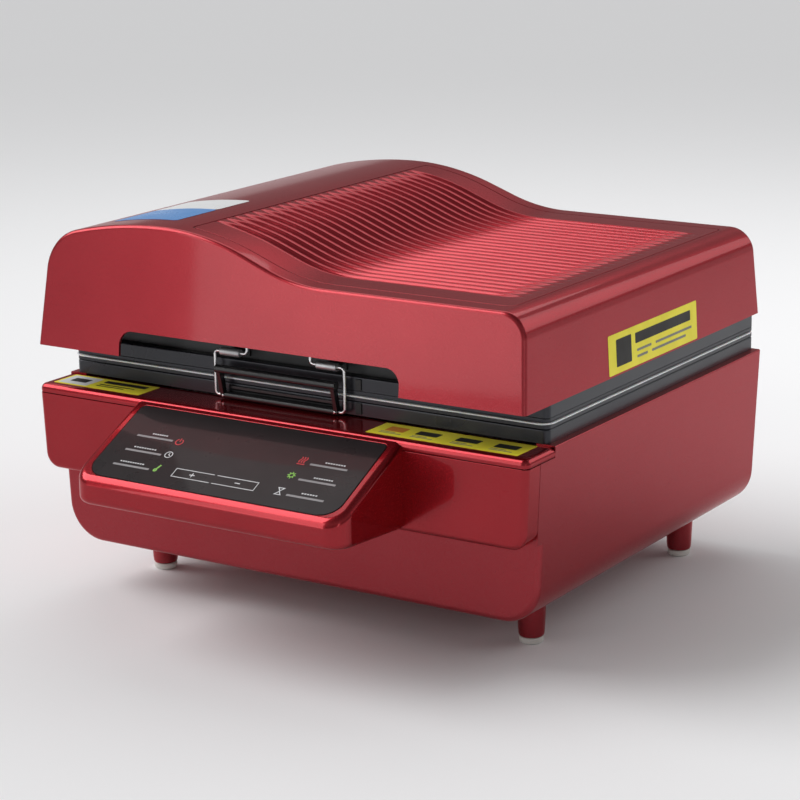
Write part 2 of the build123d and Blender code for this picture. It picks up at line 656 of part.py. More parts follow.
def vacuum_pump():
    """Diaphragm pump: finned head, round motor, mounting plate and inlet spigot."""
    head_x0 = PUMP_HEAD_X - PUMP_HEAD_L
    plate_z = FLOOR_TOP_Z
    half = PUMP_HEAD_W / 2
    head = block(head_x0, PUMP_HEAD_X, PUMP_Y - half, PUMP_Y + half, PUMP_Z - half, PUMP_Z + half)
    head = fillet(head.edges().filter_by(Axis.X), 6)
    for x in spread(4, 10.0):
        core = half - 5
        ring = block(-2, 2, -PUMP_HEAD_W, PUMP_HEAD_W, -PUMP_HEAD_W, PUMP_HEAD_W)
        ring -= block(-3, 3, -core, core, -core, core)
        head -= Pos(PUMP_HEAD_X - PUMP_HEAD_L / 2 + x, PUMP_Y, PUMP_Z) * ring
    motor = rod_x(PUMP_MOTOR_R, head_x0 - PUMP_MOTOR_L, head_x0, PUMP_Y, PUMP_Z)
    foot_x0 = head_x0 - PUMP_MOTOR_L + 6
    foot = block(foot_x0, PUMP_HEAD_X, PUMP_Y - half - 4, PUMP_Y + half + 4, plate_z, plate_z + 3)
    saddle = block(head_x0 - 50, head_x0 - 20, PUMP_Y - 20, PUMP_Y + 20, plate_z, PUMP_Z - 15)
    neck = block(PUMP_HEAD_X - 34, PUMP_HEAD_X - 10, PUMP_Y - 20, PUMP_Y + 20, plate_z, PUMP_Z)
    spigot = rod_x(PORT_R - 1, PUMP_HEAD_X, PUMP_HEAD_X + PUMP_SPIGOT_L, PUMP_Y, PUMP_Z)
    return head + motor + foot + saddle + neck + spigot


def pump_hose():
    """Hose elbow from the tray's spigot to the pump's."""
    start = Vector(0, PUMP_Y, TRAY_FLOOR_Z - SEAT - 3 - CURVED_SEAT)
    corner = Vector(0, PUMP_Y, PUMP_Z)
    end = Vector(PUMP_HEAD_X + CURVED_SEAT, PUMP_Y, PUMP_Z)
    route = FilletPolyline(start, corner, end, radius=HOSE_BEND_R)
    hose = sweep(Plane(start, z_dir=(0, 0, -1)) * Circle(HOSE_R), path=route)
    hose -= post(PORT_R + RUNNING, 0, PUMP_Y, TRAY_FLOOR_Z - PORT_L - 0.5, start.Z + 1)
    spigot_x1 = PUMP_HEAD_X + PUMP_SPIGOT_L + 0.5
    return hose - rod_x(PORT_R - 1 + RUNNING, PUMP_HEAD_X - 1, spigot_x1, PUMP_Y, PUMP_Z)


def release_valve():
    """Solenoid valve that lets air back into the well."""
    x = VALVE_FROM_PORT
    top = TRAY_FLOOR_Z - SEAT
    low = top - VALVE_BODY_H
    half = VALVE_COIL_R + 1
    body = block(x - half, x + half, WORK_Y - half + 2, WORK_Y + half - 2, low, top)
    coil = post(VALVE_COIL_R, x, WORK_Y, low - 30, low)
    return body + coil


def control_board():
    """Relay and control board on the base floor."""
    x1 = BASE_TOP_HALF_W - BOARD_INSET
    x0 = x1 - BOARD_L
    y0 = FRONT_Y + BOARD_FROM_FRONT
    y1 = y0 + BOARD_W
    low = FLOOR_TOP_Z + BOARD_STANDOFF
    top = low + BOARD_T
    board = block(x0, x1, y0, y1, low, top)
    for x in (x0 + 8, x1 - 8):
        for y in (y0 + 8, y1 - 8):
            board += post(3.5, x, y, FLOOR_TOP_Z, low)
    for relay in range(3):
        relay_x = x0 + 14 + 34 * relay
        board += block(relay_x, relay_x + 26, y0 + 20, y0 + 50, top, top + 22)
    board += block(x0 + 20, x0 + 70, y0 + 62, y0 + 100, top, top + 30)
    return board + post(9, x1 - 22, y0 + 80, top, top + 26)


def power_module():
    """Heater relay on its finned heat sink."""
    z = FLOOR_TOP_Z
    x1 = BASE_TOP_HALF_W - MODULE_INSET
    x0 = x1 - MODULE_L
    y0 = FRONT_Y + MODULE_FROM_FRONT
    y1 = y0 + MODULE_D
    sink = block(x0, x1, y0, y1, z, z + 6)
    for x in spread(MODULE_FIN_COUNT, MODULE_L / MODULE_FIN_COUNT):
        sink += block((x0 + x1) / 2 + x - 1.5, (x0 + x1) / 2 + x + 1.5, y0, y1, z + 6, z + 30)
    return sink + block(x0 + 8, x1 - 8, y0 + 15, y1 - 15, z + 30, z + 52)


# ----------------------------------------------------------------- rear fittings
def mains_inlet():
    """Three-pin inlet with its flange outside the panel."""
    body = RectangleRounded(INLET_W, INLET_H, 3.0)
    flange = RectangleRounded(INLET_FLANGE_W, INLET_H + 3.3, 4.0)
    place = Pos(INLET_X, FITTING_Z)
    outer = along_y(place * body, REAR_Y - 24, REAR_Y)
    outer += along_y(place * flange, REAR_Y + SEAT, REAR_Y + 3)
    outer += along_y(place * body, REAR_Y - 1, REAR_Y + 3)
    cavity = place * RectangleRounded(INLET_W - 4.2, INLET_H - 4.2, 2.0)
    inlet = outer - along_y(cavity, REAR_Y - 17, REAR_Y + 4)
    for dx, dz in ((-7, -2), (0, 2), (7, -2)):
        pin = Pos(INLET_X + dx, FITTING_Z + dz) * Rectangle(2, 4)
        inlet += along_y(pin, REAR_Y - 18, REAR_Y - 4)
    return inlet


def switch_body():
    """Rocker switch housing, open to the rear."""
    place = Pos(SWITCH_X, FITTING_Z)
    outer = along_y(place * Rectangle(ROCKER_W + 5.4, ROCKER_L + 6.4), REAR_Y - 20, REAR_Y)
    outer += along_y(place * RectangleRounded(ROCKER_W + 9, ROCKER_L + 10, 1.5), REAR_Y + SEAT, REAR_Y + 2.2)
    outer += along_y(place * Rectangle(ROCKER_W + 5.4, ROCKER_L + 6.4), REAR_Y - 1, REAR_Y + 2.2)
    pocket = place * Rectangle(ROCKER_W + 0.8, ROCKER_L + 2.4)
    return outer - along_y(pocket, REAR_Y - 14, REAR_Y + 4)


def power_rocker():
    """Rocker with two faces meeting in a shallow ridge, shown switched off."""
    half = ROCKER_L / 2
    lift = half * math.tan(math.radians(ROCKER_TILT))
    face = 5.4
    side = Polyline(
        (-5, -half + 3), (face + lift, -half), (face - 0.6, 0), (face + lift, half), (-5, half - 3),
        close=True)
    rocker = along_x(make_face(side), -ROCKER_W / 2, ROCKER_W / 2)
    return Pos(SWITCH_X, ROCKER_AXIS_Y, FITTING_Z) * Rot(-ROCKER_TILT, 0, 0) * rocker


def fuse_holder():
    """Round fuse holder with a slotted cap."""
    body = rod_y(6.0, REAR_Y - 26, REAR_Y + 2, FUSE_X, FITTING_Z)
    body += rod_y(8.0, REAR_Y + SEAT, REAR_Y + 3, FUSE_X, FITTING_Z)
    cap = rod_y(5.6, REAR_Y + 2, REAR_Y + 8, FUSE_X, FITTING_Z)
    slot = block(FUSE_X - 6, FUSE_X + 6, REAR_Y + 7, REAR_Y + 9, FITTING_Z - 0.8, FITTING_Z + 0.8)
    return body + cap - slot


def fan_frame():
    """Square fan frame with its motor mount on four struts."""
    place = Pos(FAN_X, FAN_Z)
    outline = place * RectangleRounded(FAN_SIZE, FAN_SIZE, 5.0)
    duct_r = FAN_SIZE / 2 - 2
    frame = along_y(outline, FAN_REAR_Y - FAN_D, FAN_REAR_Y)
    frame -= along_y(place * Circle(duct_r), FAN_REAR_Y - FAN_D - 1, FAN_REAR_Y + 1)
    mount_y = FAN_REAR_Y - FAN_D
    frame += rod_y(FAN_HUB_R, mount_y, mount_y + 3, FAN_X, FAN_Z)
    for angle in (0, 90, 180, 270):
        strut = block(FAN_HUB_R - 1, duct_r + 1, mount_y, mount_y + 3, -2, 2)
        frame += Pos(FAN_X, 0, FAN_Z) * Rot(0, angle, 0) * strut
    return frame - rod_y(2 + RUNNING, mount_y - 1, mount_y + 4, FAN_X, FAN_Z)


def fan_rotor():
    """Fan hub with pitched blades and the shaft in the motor mount."""
    y0 = FAN_REAR_Y - FAN_D + 3.5
    y1 = FAN_REAR_Y - 2
    rotor = rod_y(FAN_HUB_R - 0.5, y0, y1, 0, 0)
    rotor += rod_y(2, y0 - 3.5, y0, 0, 0)
    length = FAN_SIZE / 2 - 3.2 - FAN_HUB_R + 2
    for i in range(FAN_BLADE_COUNT):
        blade = Pos(FAN_HUB_R - 2 + length / 2, (y0 + y1) / 2, 0) * Rot(36, 0, 0) * Box(length, 20, 1.6)
        rotor += Rot(0, i * 360 / FAN_BLADE_COUNT, 0) * blade
    return Pos(FAN_X, 0, FAN_Z) * rotor


# ----------------------------------------------------------------- membrane
def membrane_frame():
    """Lower half of the frame that carries the membrane."""
    return ring_frame(0, 0, MEMBRANE_FRAME_Z, MEMBRANE_FRAME_Z + MEMBRANE_FRAME_H, 0.6)


def silicone_membrane():
    """Silicone sheet, its edge standing out of the frame at the front and sides."""
    y0 = FRAME_FRONT_Y - MEMBRANE_LIP_Y
    y1 = REAR_Y - 1.0
    width = FRAME_W + 2 * MEMBRANE_LIP_X
    return plate(width, y1 - y0, 12.0, (0, (y0 + y1) / 2), MEMBRANE_Z, MEMBRANE_Z + MEMBRANE_T)


def membrane_clamp():
    """Upper half of the frame, clamping the membrane."""
    return ring_frame(0, 0, CLAMP_Z, CLAMP_Z + CLAMP_H, 0.6)


# ----------------------------------------------------------------- lid
def reach_circle(start, step, centre, radius):
    """Point where a line from start along the unit step leaves a circle."""
    dx = start[0] - centre[0]
    dz = start[1] - centre[1]
    along = dx * step[0] + dz * step[1]
    ahead = -along + math.sqrt(along**2 - dx**2 - dz**2 + radius**2)
    return (start[0] + ahead * step[0], start[1] + ahead * step[1])


def lid_outline():
    """Cross-section of the lid: hump, steep part, valley, flat deck and both shoulders."""
    lean_l = math.radians(LID_LEAN_LEFT)
    lean_r = math.radians(LID_LEAN_RIGHT)
    left_foot = (-LID_HALF_W, LID_BOTTOM_Z)
    right_foot = (LID_HALF_W, LID_BOTTOM_Z)
    right_top = (LID_HALF_W - (DECK_Z - LID_BOTTOM_Z) * math.tan(lean_r), DECK_Z)
    centre_l = (HUMP_X, HUMP_Z - HUMP_R_LEFT)
    left_top = reach_circle(left_foot, (math.sin(lean_l), math.cos(lean_l)), centre_l, HUMP_R_LEFT)
    peak = (HUMP_X, HUMP_Z)
    half_way_l = math.asin((HUMP_X - left_top[0]) / HUMP_R_LEFT) / 2
    mid_left = (HUMP_X - HUMP_R_LEFT * math.sin(half_way_l),
                HUMP_Z - HUMP_R_LEFT * (1 - math.cos(half_way_l)))
    mid_right = (HUMP_X + HUMP_R_RIGHT * math.sin(SLOPE_RAD / 2),
                 HUMP_Z - HUMP_R_RIGHT * (1 - math.cos(SLOPE_RAD / 2)))
    mid_valley = (VALLEY_END_X - VALLEY_R * math.sin(SLOPE_RAD / 2),
                  DECK_Z + VALLEY_R * (1 - math.cos(SLOPE_RAD / 2)))
    hump_end = (HUMP_END_X, HUMP_END_Z)
    valley_start = (VALLEY_START_X, VALLEY_START_Z)
    valley_end = (VALLEY_END_X, DECK_Z)
    edges = [
        Line(left_foot, left_top),
        ThreePointArc(left_top, mid_left, peak),
        ThreePointArc(peak, mid_right, hump_end),
        Line(hump_end, valley_start),
        ThreePointArc(valley_start, mid_valley, valley_end),
        Line(valley_end, right_top),
        Line(right_top, right_foot),
        Line(right_foot, left_foot),
    ]
    face = make_face(edges)
    face = fillet(face.vertices().sort_by_distance((*left_top, 0))[:1], SHOULDER_R_LEFT)
    return fillet(face.vertices().sort_by_distance((*right_top, 0))[:1], SHOULDER_R_RIGHT)


def lid_ends(inset):
    """Side view of the lid as a tall trapezoid between its leaning end walls."""
    tall = 200.0
    lean = math.tan(math.radians(LID_LEAN_ENDS))
    y0 = FRONT_Y + inset
    y1 = LID_REAR_Y - inset
    low = LID_BOTTOM_Z - 60
    shift = lean * (low - LID_BOTTOM_Z)
    high = lean * tall
    return make_face(Polyline(
        (y0 + shift, low), (y0 + high, LID_BOTTOM_Z + tall), (y1 - high, LID_BOTTOM_Z + tall),
        (y1 - shift, low), close=True))


def lid_form(inset):
    """Closed form of the lid, shrunk by an inset on its walls and top."""
    outline = lid_outline()
    if inset:
        outline = offset(outline, -inset, kind=Kind.INTERSECTION)
        below = Pos(0, LID_BOTTOM_Z - 5) * Rectangle(2 * (LID_HALF_W - inset), 30)
        outline = outline + below
    slab = along_y(outline, FRONT_Y - 20, LID_REAR_Y + 20)
    sides = along_x(lid_ends(inset), -LID_HALF_W - 20, LID_HALF_W + 20)
    return slab & sides


def lid_rim_edges(form):
    """Edges where the end walls meet the sides and the top."""
    rim = []
    for edge in form.edges():
        box = edge.bounding_box()
        if box.size.Y < 30 and box.max.Z > LID_BOTTOM_Z + 1:
            rim.append(edge)
    return rim


def cover_plan(grow, z0, z1):
    """Upright block over the cover's plan, larger by an amount on each side."""
    x_mid = (COVER_X0 + COVER_X1) / 2
    width = COVER_X1 - COVER_X0 + 2 * grow
    depth = LID_REAR_Y - FRONT_Y - 2 * COVER_INSET_Y + 2 * grow
    return plate(width, depth, COVER_CORNER_R, (x_mid, LID_MID_Y), z0, z1)


def lid_shell():
    """Outer lid: one moulded shell with the cover's opening and the latch window."""
    solid = lid_form(0)
    solid = fillet(lid_rim_edges(solid), LID_EDGE_R)
    shell = solid - lid_form(LID_WALL)
    shell -= cover_plan(0, DECK_Z - 30, HUMP_Z + 10)
    window_w = WINDOW_X1 - WINDOW_X0
    window_h = 2 * (WINDOW_TOP_Z - LID_BOTTOM_Z)
    window = Pos((WINDOW_X0 + WINDOW_X1) / 2, LID_BOTTOM_Z) * RectangleRounded(
        window_w, window_h, WINDOW_CORNER_R)
    return shell - along_y(window, FRONT_Y - 5, FRONT_Y + 20)


def groove_cutter():
    """Round cutter that follows the wave and runs out of the surface at both ends."""
    lift = GROOVE_R - GROOVE_DEPTH
    start_angle = math.asin((GROOVE_LEFT_X - HUMP_X) / HUMP_R_RIGHT)
    hump_r = HUMP_R_RIGHT + lift
    valley_r = VALLEY_R - lift
    hump_z = HUMP_Z - HUMP_R_RIGHT

    def on_hump(angle):
        return Vector(HUMP_X + hump_r * math.sin(angle), 0, hump_z + hump_r * math.cos(angle))

    def on_valley(angle):
        return Vector(VALLEY_END_X - valley_r * math.sin(angle), 0,
                      DECK_Z + VALLEY_R - valley_r * math.cos(angle))

    first = on_hump(start_angle)
    lead = 60.0
    before = first - Vector(math.cos(start_angle), 0, -math.sin(start_angle)) * lead
    last = Vector(GROOVE_RIGHT_X, 0, DECK_Z + lift)
    climb = math.acos(1 - 1.5 * GROOVE_DEPTH / GROOVE_RUNOUT_R)

    def on_runout(angle):
        return last + Vector(GROOVE_RUNOUT_R * math.sin(angle), 0, GROOVE_RUNOUT_R * (1 - math.cos(angle)))

    path = Wire([
        Line(before, first).edge(),
        ThreePointArc(first, on_hump((start_angle + SLOPE_RAD) / 2), on_hump(SLOPE_RAD)).edge(),
        Line(on_hump(SLOPE_RAD), on_valley(SLOPE_RAD)).edge(),
        ThreePointArc(on_valley(SLOPE_RAD), on_valley(SLOPE_RAD / 2), on_valley(0)).edge(),
        Line(on_valley(0), last).edge(),
        ThreePointArc(last, on_runout(climb / 2), on_runout(climb)).edge(),
    ])
    section = Plane(before, z_dir=path.tangent_at(0)) * Circle(GROOVE_R)
    return sweep(section, path=path)


def top_cover():
    """Ribbed cover let into the lid's top, with a flange under the lid's skin."""
    z0 = DECK_Z - 30
    z1 = HUMP_Z + 10
    skin = lid_form(0) - lid_form(LID_WALL + CURVED_SEAT)
    visible = skin & cover_plan(-COVER_GAP, z0, z1)
    under = lid_form(LID_WALL + CURVED_SEAT) - lid_form(COVER_DEPTH)
    cover = visible + (under & cover_plan(COVER_FLANGE_W, z0, z1))
    cutter = groove_cutter()
    grooves = [Pos(0, LID_MID_Y + y, 0) * cutter for y in spread(GROOVE_COUNT, GROOVE_PITCH)]
    return cover - grooves


def heating_box():
    """Sheet box over the work area that holds the heaters, open below."""
    centre = (0, BOX_FRONT_Y + BOX_D / 2)
    box = plate(2 * BOX_HALF_W, BOX_D, 5.0, centre, BOX_FOOT_Z, BOX_TOP_Z)
    inner_w = 2 * (BOX_HALF_W - SHEET_T)
    inner_d = BOX_D - 2 * SHEET_T
    box -= plate(inner_w, inner_d, 5.0 - SHEET_T, centre, BOX_FOOT_Z - 1, BOX_TOP_Z - SHEET_T)
    y_wall = BOX_FRONT_Y + BOX_D
    return box - rod_y(PROBE_R + RUNNING, y_wall - 3 * SHEET_T, y_wall + 1, PROBE_X, PROBE_Z)


def reflector():
    """Bright trough over the heaters, its long edges turned down and out."""
    z1 = BOX_TOP_Z - SHEET_T - REFLECTOR_GAP
    z0 = z1 - REFLECTOR_H
    low = BOX_D / 2 - SHEET_T - 4
    top = low - REFLECTOR_FLARE
    outline = Polyline((-low, z0), (-top, z1), (top, z1), (low, z0))
    skin = offset(outline, REFLECTOR_T / 2, side=Side.BOTH, kind=Kind.INTERSECTION)
    half = RAIL_X - CAP_L / 2 - 2
    trough = along_x(Pos(TUBE_MID_Y, -REFLECTOR_T) * make_face(skin), -half, half)
    for x in (-half + 70, half - 70):
        for y in (TUBE_MID_Y - top + 40, TUBE_MID_Y + top - 40):
            trough += post(5, x, y, z1 - REFLECTOR_T, BOX_TOP_Z - SHEET_T - SEAT)
    return trough


def heater_tubes():
    """Quartz heating tubes across the lid."""
    half = RAIL_X - 4
    return [rod_x(TUBE_R, -half, half, TUBE_MID_Y + y, TUBE_Z) for y in spread(TUBE_COUNT, TUBE_PITCH)]


def heater_caps():
    """Ceramic cap on each end of each tube, seated in the rails."""
    caps = []
    for y in spread(TUBE_COUNT, TUBE_PITCH):
        for side in (-1, 1):
            x0, x1 = sorted((side * (RAIL_X - CAP_L / 2), side * (RAIL_X + CAP_L / 2)))
            cap = rod_x(CAP_R - 2, x0, x1, TUBE_MID_Y + y, TUBE_Z)
            x_shoulder = side * (RAIL_X - RAIL_T / 2 - SEAT)
            x2, x3 = sorted((side * (RAIL_X - CAP_L / 2), x_shoulder))
            cap += rod_x(CAP_R, x2, x3, TUBE_MID_Y + y, TUBE_Z)
            reach = side * (RAIL_X - 4)
            x4, x5 = sorted((side * (RAIL_X - CAP_L), reach + side * RUNNING))
            cap -= rod_x(TUBE_R + RUNNING, x4, x5, TUBE_MID_Y + y, TUBE_Z)
            caps.append(cap)
    return caps


def heater_rails():
    """Two upright rails, hung from the box roof, that hold the caps."""
    rails = []
    roof = BOX_TOP_Z - SHEET_T - SEAT
    half_d = BOX_D / 2 - SHEET_T - 4
    for side in (-1, 1):
        x0 = side * RAIL_X - RAIL_T / 2
        rail = block(x0, x0 + RAIL_T, TUBE_MID_Y - half_d, TUBE_MID_Y + half_d, roof - RAIL_H, roof)
        foot_x0, foot_x1 = sorted((side * RAIL_X, side * (RAIL_X + 16)))
        rail += block(foot_x0, foot_x1, TUBE_MID_Y - half_d, TUBE_MID_Y + half_d, roof - RAIL_T, roof)
        for y in spread(TUBE_COUNT, TUBE_PITCH):
            rail -= rod_x(CAP_R - 2 + SEAT, x0 - 1, x0 + RAIL_T + 1, TUBE_MID_Y + y, TUBE_Z)
        rails.append(rail)
    return rails


def heater_guard():
    """Welded wire grid under the tubes, clipped to the rails."""
    z0 = GUARD_Z
    z1 = GUARD_Z + GUARD_WIRE
    half_w = RAIL_X - RAIL_T / 2 - SEAT
    half_d = BOX_D / 2 - SHEET_T - 16
    border = Rectangle(2 * half_w, 2 * half_d)
    border -= Rectangle(2 * (half_w - GUARD_BORDER), 2 * (half_d - GUARD_BORDER))
    guard = Pos(0, TUBE_MID_Y, z0) * extrude(border, GUARD_WIRE)
    half = GUARD_WIRE / 2
    end_x = half_w - GUARD_BORDER / 2
    end_y = half_d - GUARD_BORDER / 2
    for y in spread(GUARD_ALONG_COUNT, 2 * half_d / (GUARD_ALONG_COUNT + 1)):
        guard += block(-end_x, end_x, TUBE_MID_Y + y - half, TUBE_MID_Y + y + half, z0, z1)
    for x in spread(GUARD_ACROSS_COUNT, 2 * half_w / (GUARD_ACROSS_COUNT + 1)):
        guard += block(x - half, x + half, TUBE_MID_Y - end_y, TUBE_MID_Y + end_y, z0, z1)
    return guard


def insulation():
    """Blanket lying on the heating box."""
    centre = (0, BOX_FRONT_Y + BOX_D / 2)
    z0 = BOX_TOP_Z + SEAT
    return plate(2 * BOX_HALF_W - 20, BOX_D - 40, 8.0, centre, z0, z0 + INSULATION_T)


def temperature_probe():
    """Sensor sleeve through the rear wall of the heating box."""
    y_wall = BOX_FRONT_Y + BOX_D
    y_collar = y_wall - SHEET_T - SEAT
    sleeve = rod_y(PROBE_R, y_wall - PROBE_L, y_wall + 2, PROBE_X, PROBE_Z)
    return sleeve + rod_y(2 * PROBE_R, y_collar - 3, y_collar, PROBE_X, PROBE_Z)


def lid_frame():
    """Black frame at the foot of the heating box."""
    return ring_frame(0, 0, LID_FRAME_Z, LID_FRAME_TOP, 1.5)


def lid_brackets():
    """Angles that tie the lid's skin to the heating box."""
    brackets = []
    z0 = LID_FRAME_TOP + SEAT
    z1 = z0 + BRACKET_H
    rise = z1 - LID_BOTTOM_Z
    half = BRACKET_W / 2
    for side, lean in ((-1, LID_LEAN_LEFT), (1, LID_LEAN_RIGHT)):
        x_skin = LID_HALF_W - LID_WALL - rise * math.tan(math.radians(lean)) - CURVED_SEAT
        for y in (WORK_Y - 0.4 * WORK_D, WORK_Y + 0.4 * WORK_D):
            foot_x0, foot_x1 = sorted((side * (BOX_HALF_W + SEAT), side * x_skin))
            leg_x0, leg_x1 = sorted((side * (x_skin - 2), side * x_skin))
            angle = block(foot_x0, foot_x1, y - half, y + half, z0, z0 + 2)
            brackets.append(angle + block(leg_x0, leg_x1, y - half, y + half, z0, z1))
    lean = math.tan(math.radians(LID_LEAN_ENDS))
    shelf_z = WINDOW_TOP_Z + 14
    top_z = shelf_z + SHELF_H
    for x in (WINDOW_X0 + SHELF_W, WINDOW_X1 - SHELF_W):
        y_skin = FRONT_Y + LID_WALL + (top_z - LID_BOTTOM_Z) * lean + CURVED_SEAT
        y_box = BOX_FRONT_Y - SEAT
        side_view = make_face(Polyline(
            (y_skin, shelf_z), (y_box, shelf_z), (y_box, top_z), (y_box - 2, top_z),
            (y_box - 2, shelf_z + 2), (y_skin + 2, shelf_z + 2), (y_skin + 2, top_z), (y_skin, top_z),
            close=True))
        brackets.append(along_x(side_view, x - SHELF_W / 2, x + SHELF_W / 2))
    return brackets


# ----------------------------------------------------------------- wire latch
def wire_link(side):
    """Bent wire: foot in the lever, outer leg, run through the barrel, inner leg upwards."""
    def at(across, z):
        return Vector(LATCH_X + side * across, WIRE_Y, z)

    points = [
        at(WIRE_SPREAD - 22, LEVER_Z), at(WIRE_SPREAD, LEVER_Z), at(WIRE_SPREAD, BARREL_Z),
        at(WIRE_INNER, BARREL_Z), at(WIRE_INNER, LEG_TOP_Z),
    ]
    path = FilletPolyline(*points, radius=WIRE_BEND_R)
    section = Plane(points[0], z_dir=(side, 0, 0)) * Circle(WIRE_R)
    return sweep(section, path=path)


def latch_wires():
    """The pair of wire links."""
    return [wire_link(-1), wire_link(1)]


def latch_barrels():
    """Steel barrels that the wires turn in, each on a strap from the heating box."""
    barrels = []
    for side in (-1, 1):
        x0, x1 = sorted((LATCH_X + side * BARREL_IN, LATCH_X + side * BARREL_OUT))
        barrel = rod_x(BARREL_R, x0, x1, WIRE_Y, BARREL_Z)
        strap = block(x0 + 4, x1 - 4, WIRE_Y, BOX_FRONT_Y - SEAT, BARREL_Z - 1.25, BARREL_Z + 1.25)
        pad = block(x0, x1, BOX_FRONT_Y - SEAT - 2, BOX_FRONT_Y - SEAT, BARREL_Z - 6, BARREL_Z + 6)
        bore = rod_x(WIRE_R + RUNNING, x0 - 1, x1 + 1, WIRE_Y, BARREL_Z)
        barrels.append(barrel + strap + pad - bore)
    return barrels


def latch_lever():
    """Open lever: pivot tube below, two arms and the round grip above."""
    x0 = LATCH_X - LEVER_HALF_W
    x1 = LATCH_X + LEVER_HALF_W
    grip_y = WIRE_Y - GRIP_FORWARD
    lever = rod_x(LEVER_TUBE_R, x0, x1, WIRE_Y, LEVER_Z)
    lever += rod_x(GRIP_R, x0 - 1.5, x1 + 1.5, grip_y, GRIP_Z)
    arm = make_hull(
        Circle(LEVER_TUBE_R - ARM_EASE).edges()
        + (Pos(grip_y - WIRE_Y, GRIP_Z - LEVER_Z) * Circle(GRIP_R - ARM_EASE)).edges())
    for x in (x0, x1 - ARM_T):
        lever += Pos(0, WIRE_Y, LEVER_Z) * along_x(arm, x, x + ARM_T)
    depth = 22 - (WIRE_SPREAD - LEVER_HALF_W) + 1
    for end, inner in ((x0 - 1, x0 + depth), (x1 - depth, x1 + 1)):
        lever -= rod_x(WIRE_R + RUNNING, end, inner, WIRE_Y, LEVER_Z)
    return lever


def catch_bracket():
    """Hooked plate on the lower frame that the lever's tube bears on."""
    y1 = FRAME_FRONT_Y - SEAT
    y0 = y1 - CATCH_T
    z0 = LEDGE_Z + SEAT
    z1 = z0 + CATCH_H
    lip_y = y0 - CATCH_LIP
    side_view = make_face(Polyline(
        (y1, z0), (y1, z1), (lip_y, z1), (lip_y, z1 - 2.4), (y0, z1 - 4.4), (y0, z0), close=True))
    return along_x(side_view, LATCH_X - LEVER_HALF_W + 6, LATCH_X + LEVER_HALF_W - 6)


# ----------------------------------------------------------------- hinges
def knuckle_span(slot):
    """Start and end of one of the four knuckles, from the hinge's left end."""
    start = -2 * (KNUCKLE_L + KNUCKLE_GAP) + slot * (KNUCKLE_L + KNUCKLE_GAP) + KNUCKLE_GAP / 2
    return start, start + KNUCKLE_L


def knuckle(slot):
    """Knuckle on the pin axis, bored later with its leaf."""
    x0, x1 = knuckle_span(slot)
    return rod_x(KNUCKLE_R, x0, x1, HINGE_Y, HINGE_Z)


def leaf(slots, z0, z1, plate_z0, plate_z1):
    """Hinge leaf: knuckles, their webs and the screw plate against the frames' rear face."""
    y0 = REAR_Y + SEAT
    y1 = y0 + LEAF_T
    piece = None
    for slot in slots:
        x0, x1 = knuckle_span(slot)
        web = block(x0, x1, y0, y1, z0, z1)
        piece = knuckle(slot) + web if piece is None else piece + knuckle(slot) + web
    half = 2 * (KNUCKLE_L + KNUCKLE_GAP)
    if plate_z1 > plate_z0:
        piece += block(-half, half, y0, y1, plate_z0, plate_z1)
    bore = rod_x(PIN_R + RUNNING, -half - 1, half + 1, HINGE_Y, HINGE_Z)
    return [Pos(x, 0, 0) * (piece - bore) for x in (-HINGE_X, HINGE_X)]


def hinge_base_leaves():
    """Leaves screwed to the base."""
    low = HINGE_Z - HINGE_LEAF_H
    return leaf((0, 3), low, HINGE_Z, low, HINGE_Z - CLEAR_OF_KNUCKLES)


def hinge_membrane_leaves():
    """Single knuckles on the membrane frame."""
    return leaf((1,), MEMBRANE_FRAME_Z, CLAMP_Z + CLAMP_H, 0, 0)


def hinge_lid_leaves():
    """Leaves screwed to the lid frame."""
    return leaf((2,), HINGE_Z, LID_FRAME_TOP, HINGE_Z + CLEAR_OF_KNUCKLES, LID_FRAME_TOP)


def hinge_pins():
    """Pins through all four knuckles."""
    half = 2 * (KNUCKLE_L + KNUCKLE_GAP) + 1.5
    return [Pos(x, 0, 0) * rod_x(PIN_R, -half, half, HINGE_Y, HINGE_Z) for x in (-HINGE_X, HINGE_X)]


# ----------------------------------------------------------------- write the parts
PIECES = [
    base_shell, front_housing, ledge_cap, rear_panel, feet, foot_tips,
    console_housing, touch_panel, display_board,
    lower_frame, base_gasket, vacuum_tray, platen, vacuum_port, vacuum_pump, pump_hose,
    release_valve, control_board, power_module,
    mains_inlet, switch_body, power_rocker, fuse_holder, fan_frame, fan_rotor,
    membrane_frame, silicone_membrane, membrane_clamp,
    lid_shell, top_cover, heating_box, reflector, heater_tubes, heater_caps, heater_rails,
    heater_guard, insulation, temperature_probe, lid_frame, lid_brackets,
    latch_wires, latch_barrels, latch_lever, catch_bracket,
    hinge_base_leaves, hinge_membrane_leaves, hinge_lid_leaves, hinge_pins,
]

for make in PIECES:
    made = make()
    solids = made if isinstance(made, list) else [made]
    piece = Compound(children=[s for part in solids for s in part.solids()])
    export_step(piece, f"parts/{make.__name__}.step")
    print(make.__name__, len(piece.solids()), round(piece.volume / 1000, 1), "cm3")
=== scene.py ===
# %% [markdown]
# # A vacuum sublimation heat press
# The machine is a steel base on four feet, three stacked frames and a heavy moulded lid that is
# hinged behind. The CAD model gives every piece its place and its joint. This script keeps that
# frame, builds smooth visible skins over the plain solids and gives each piece its own finish.
# All sizes are written in millimetres, as a maker would, and scaled once when a mesh is made.

# %% Open the CAD frame
import math

import bpy
import bmesh
from mathutils import Matrix, Vector


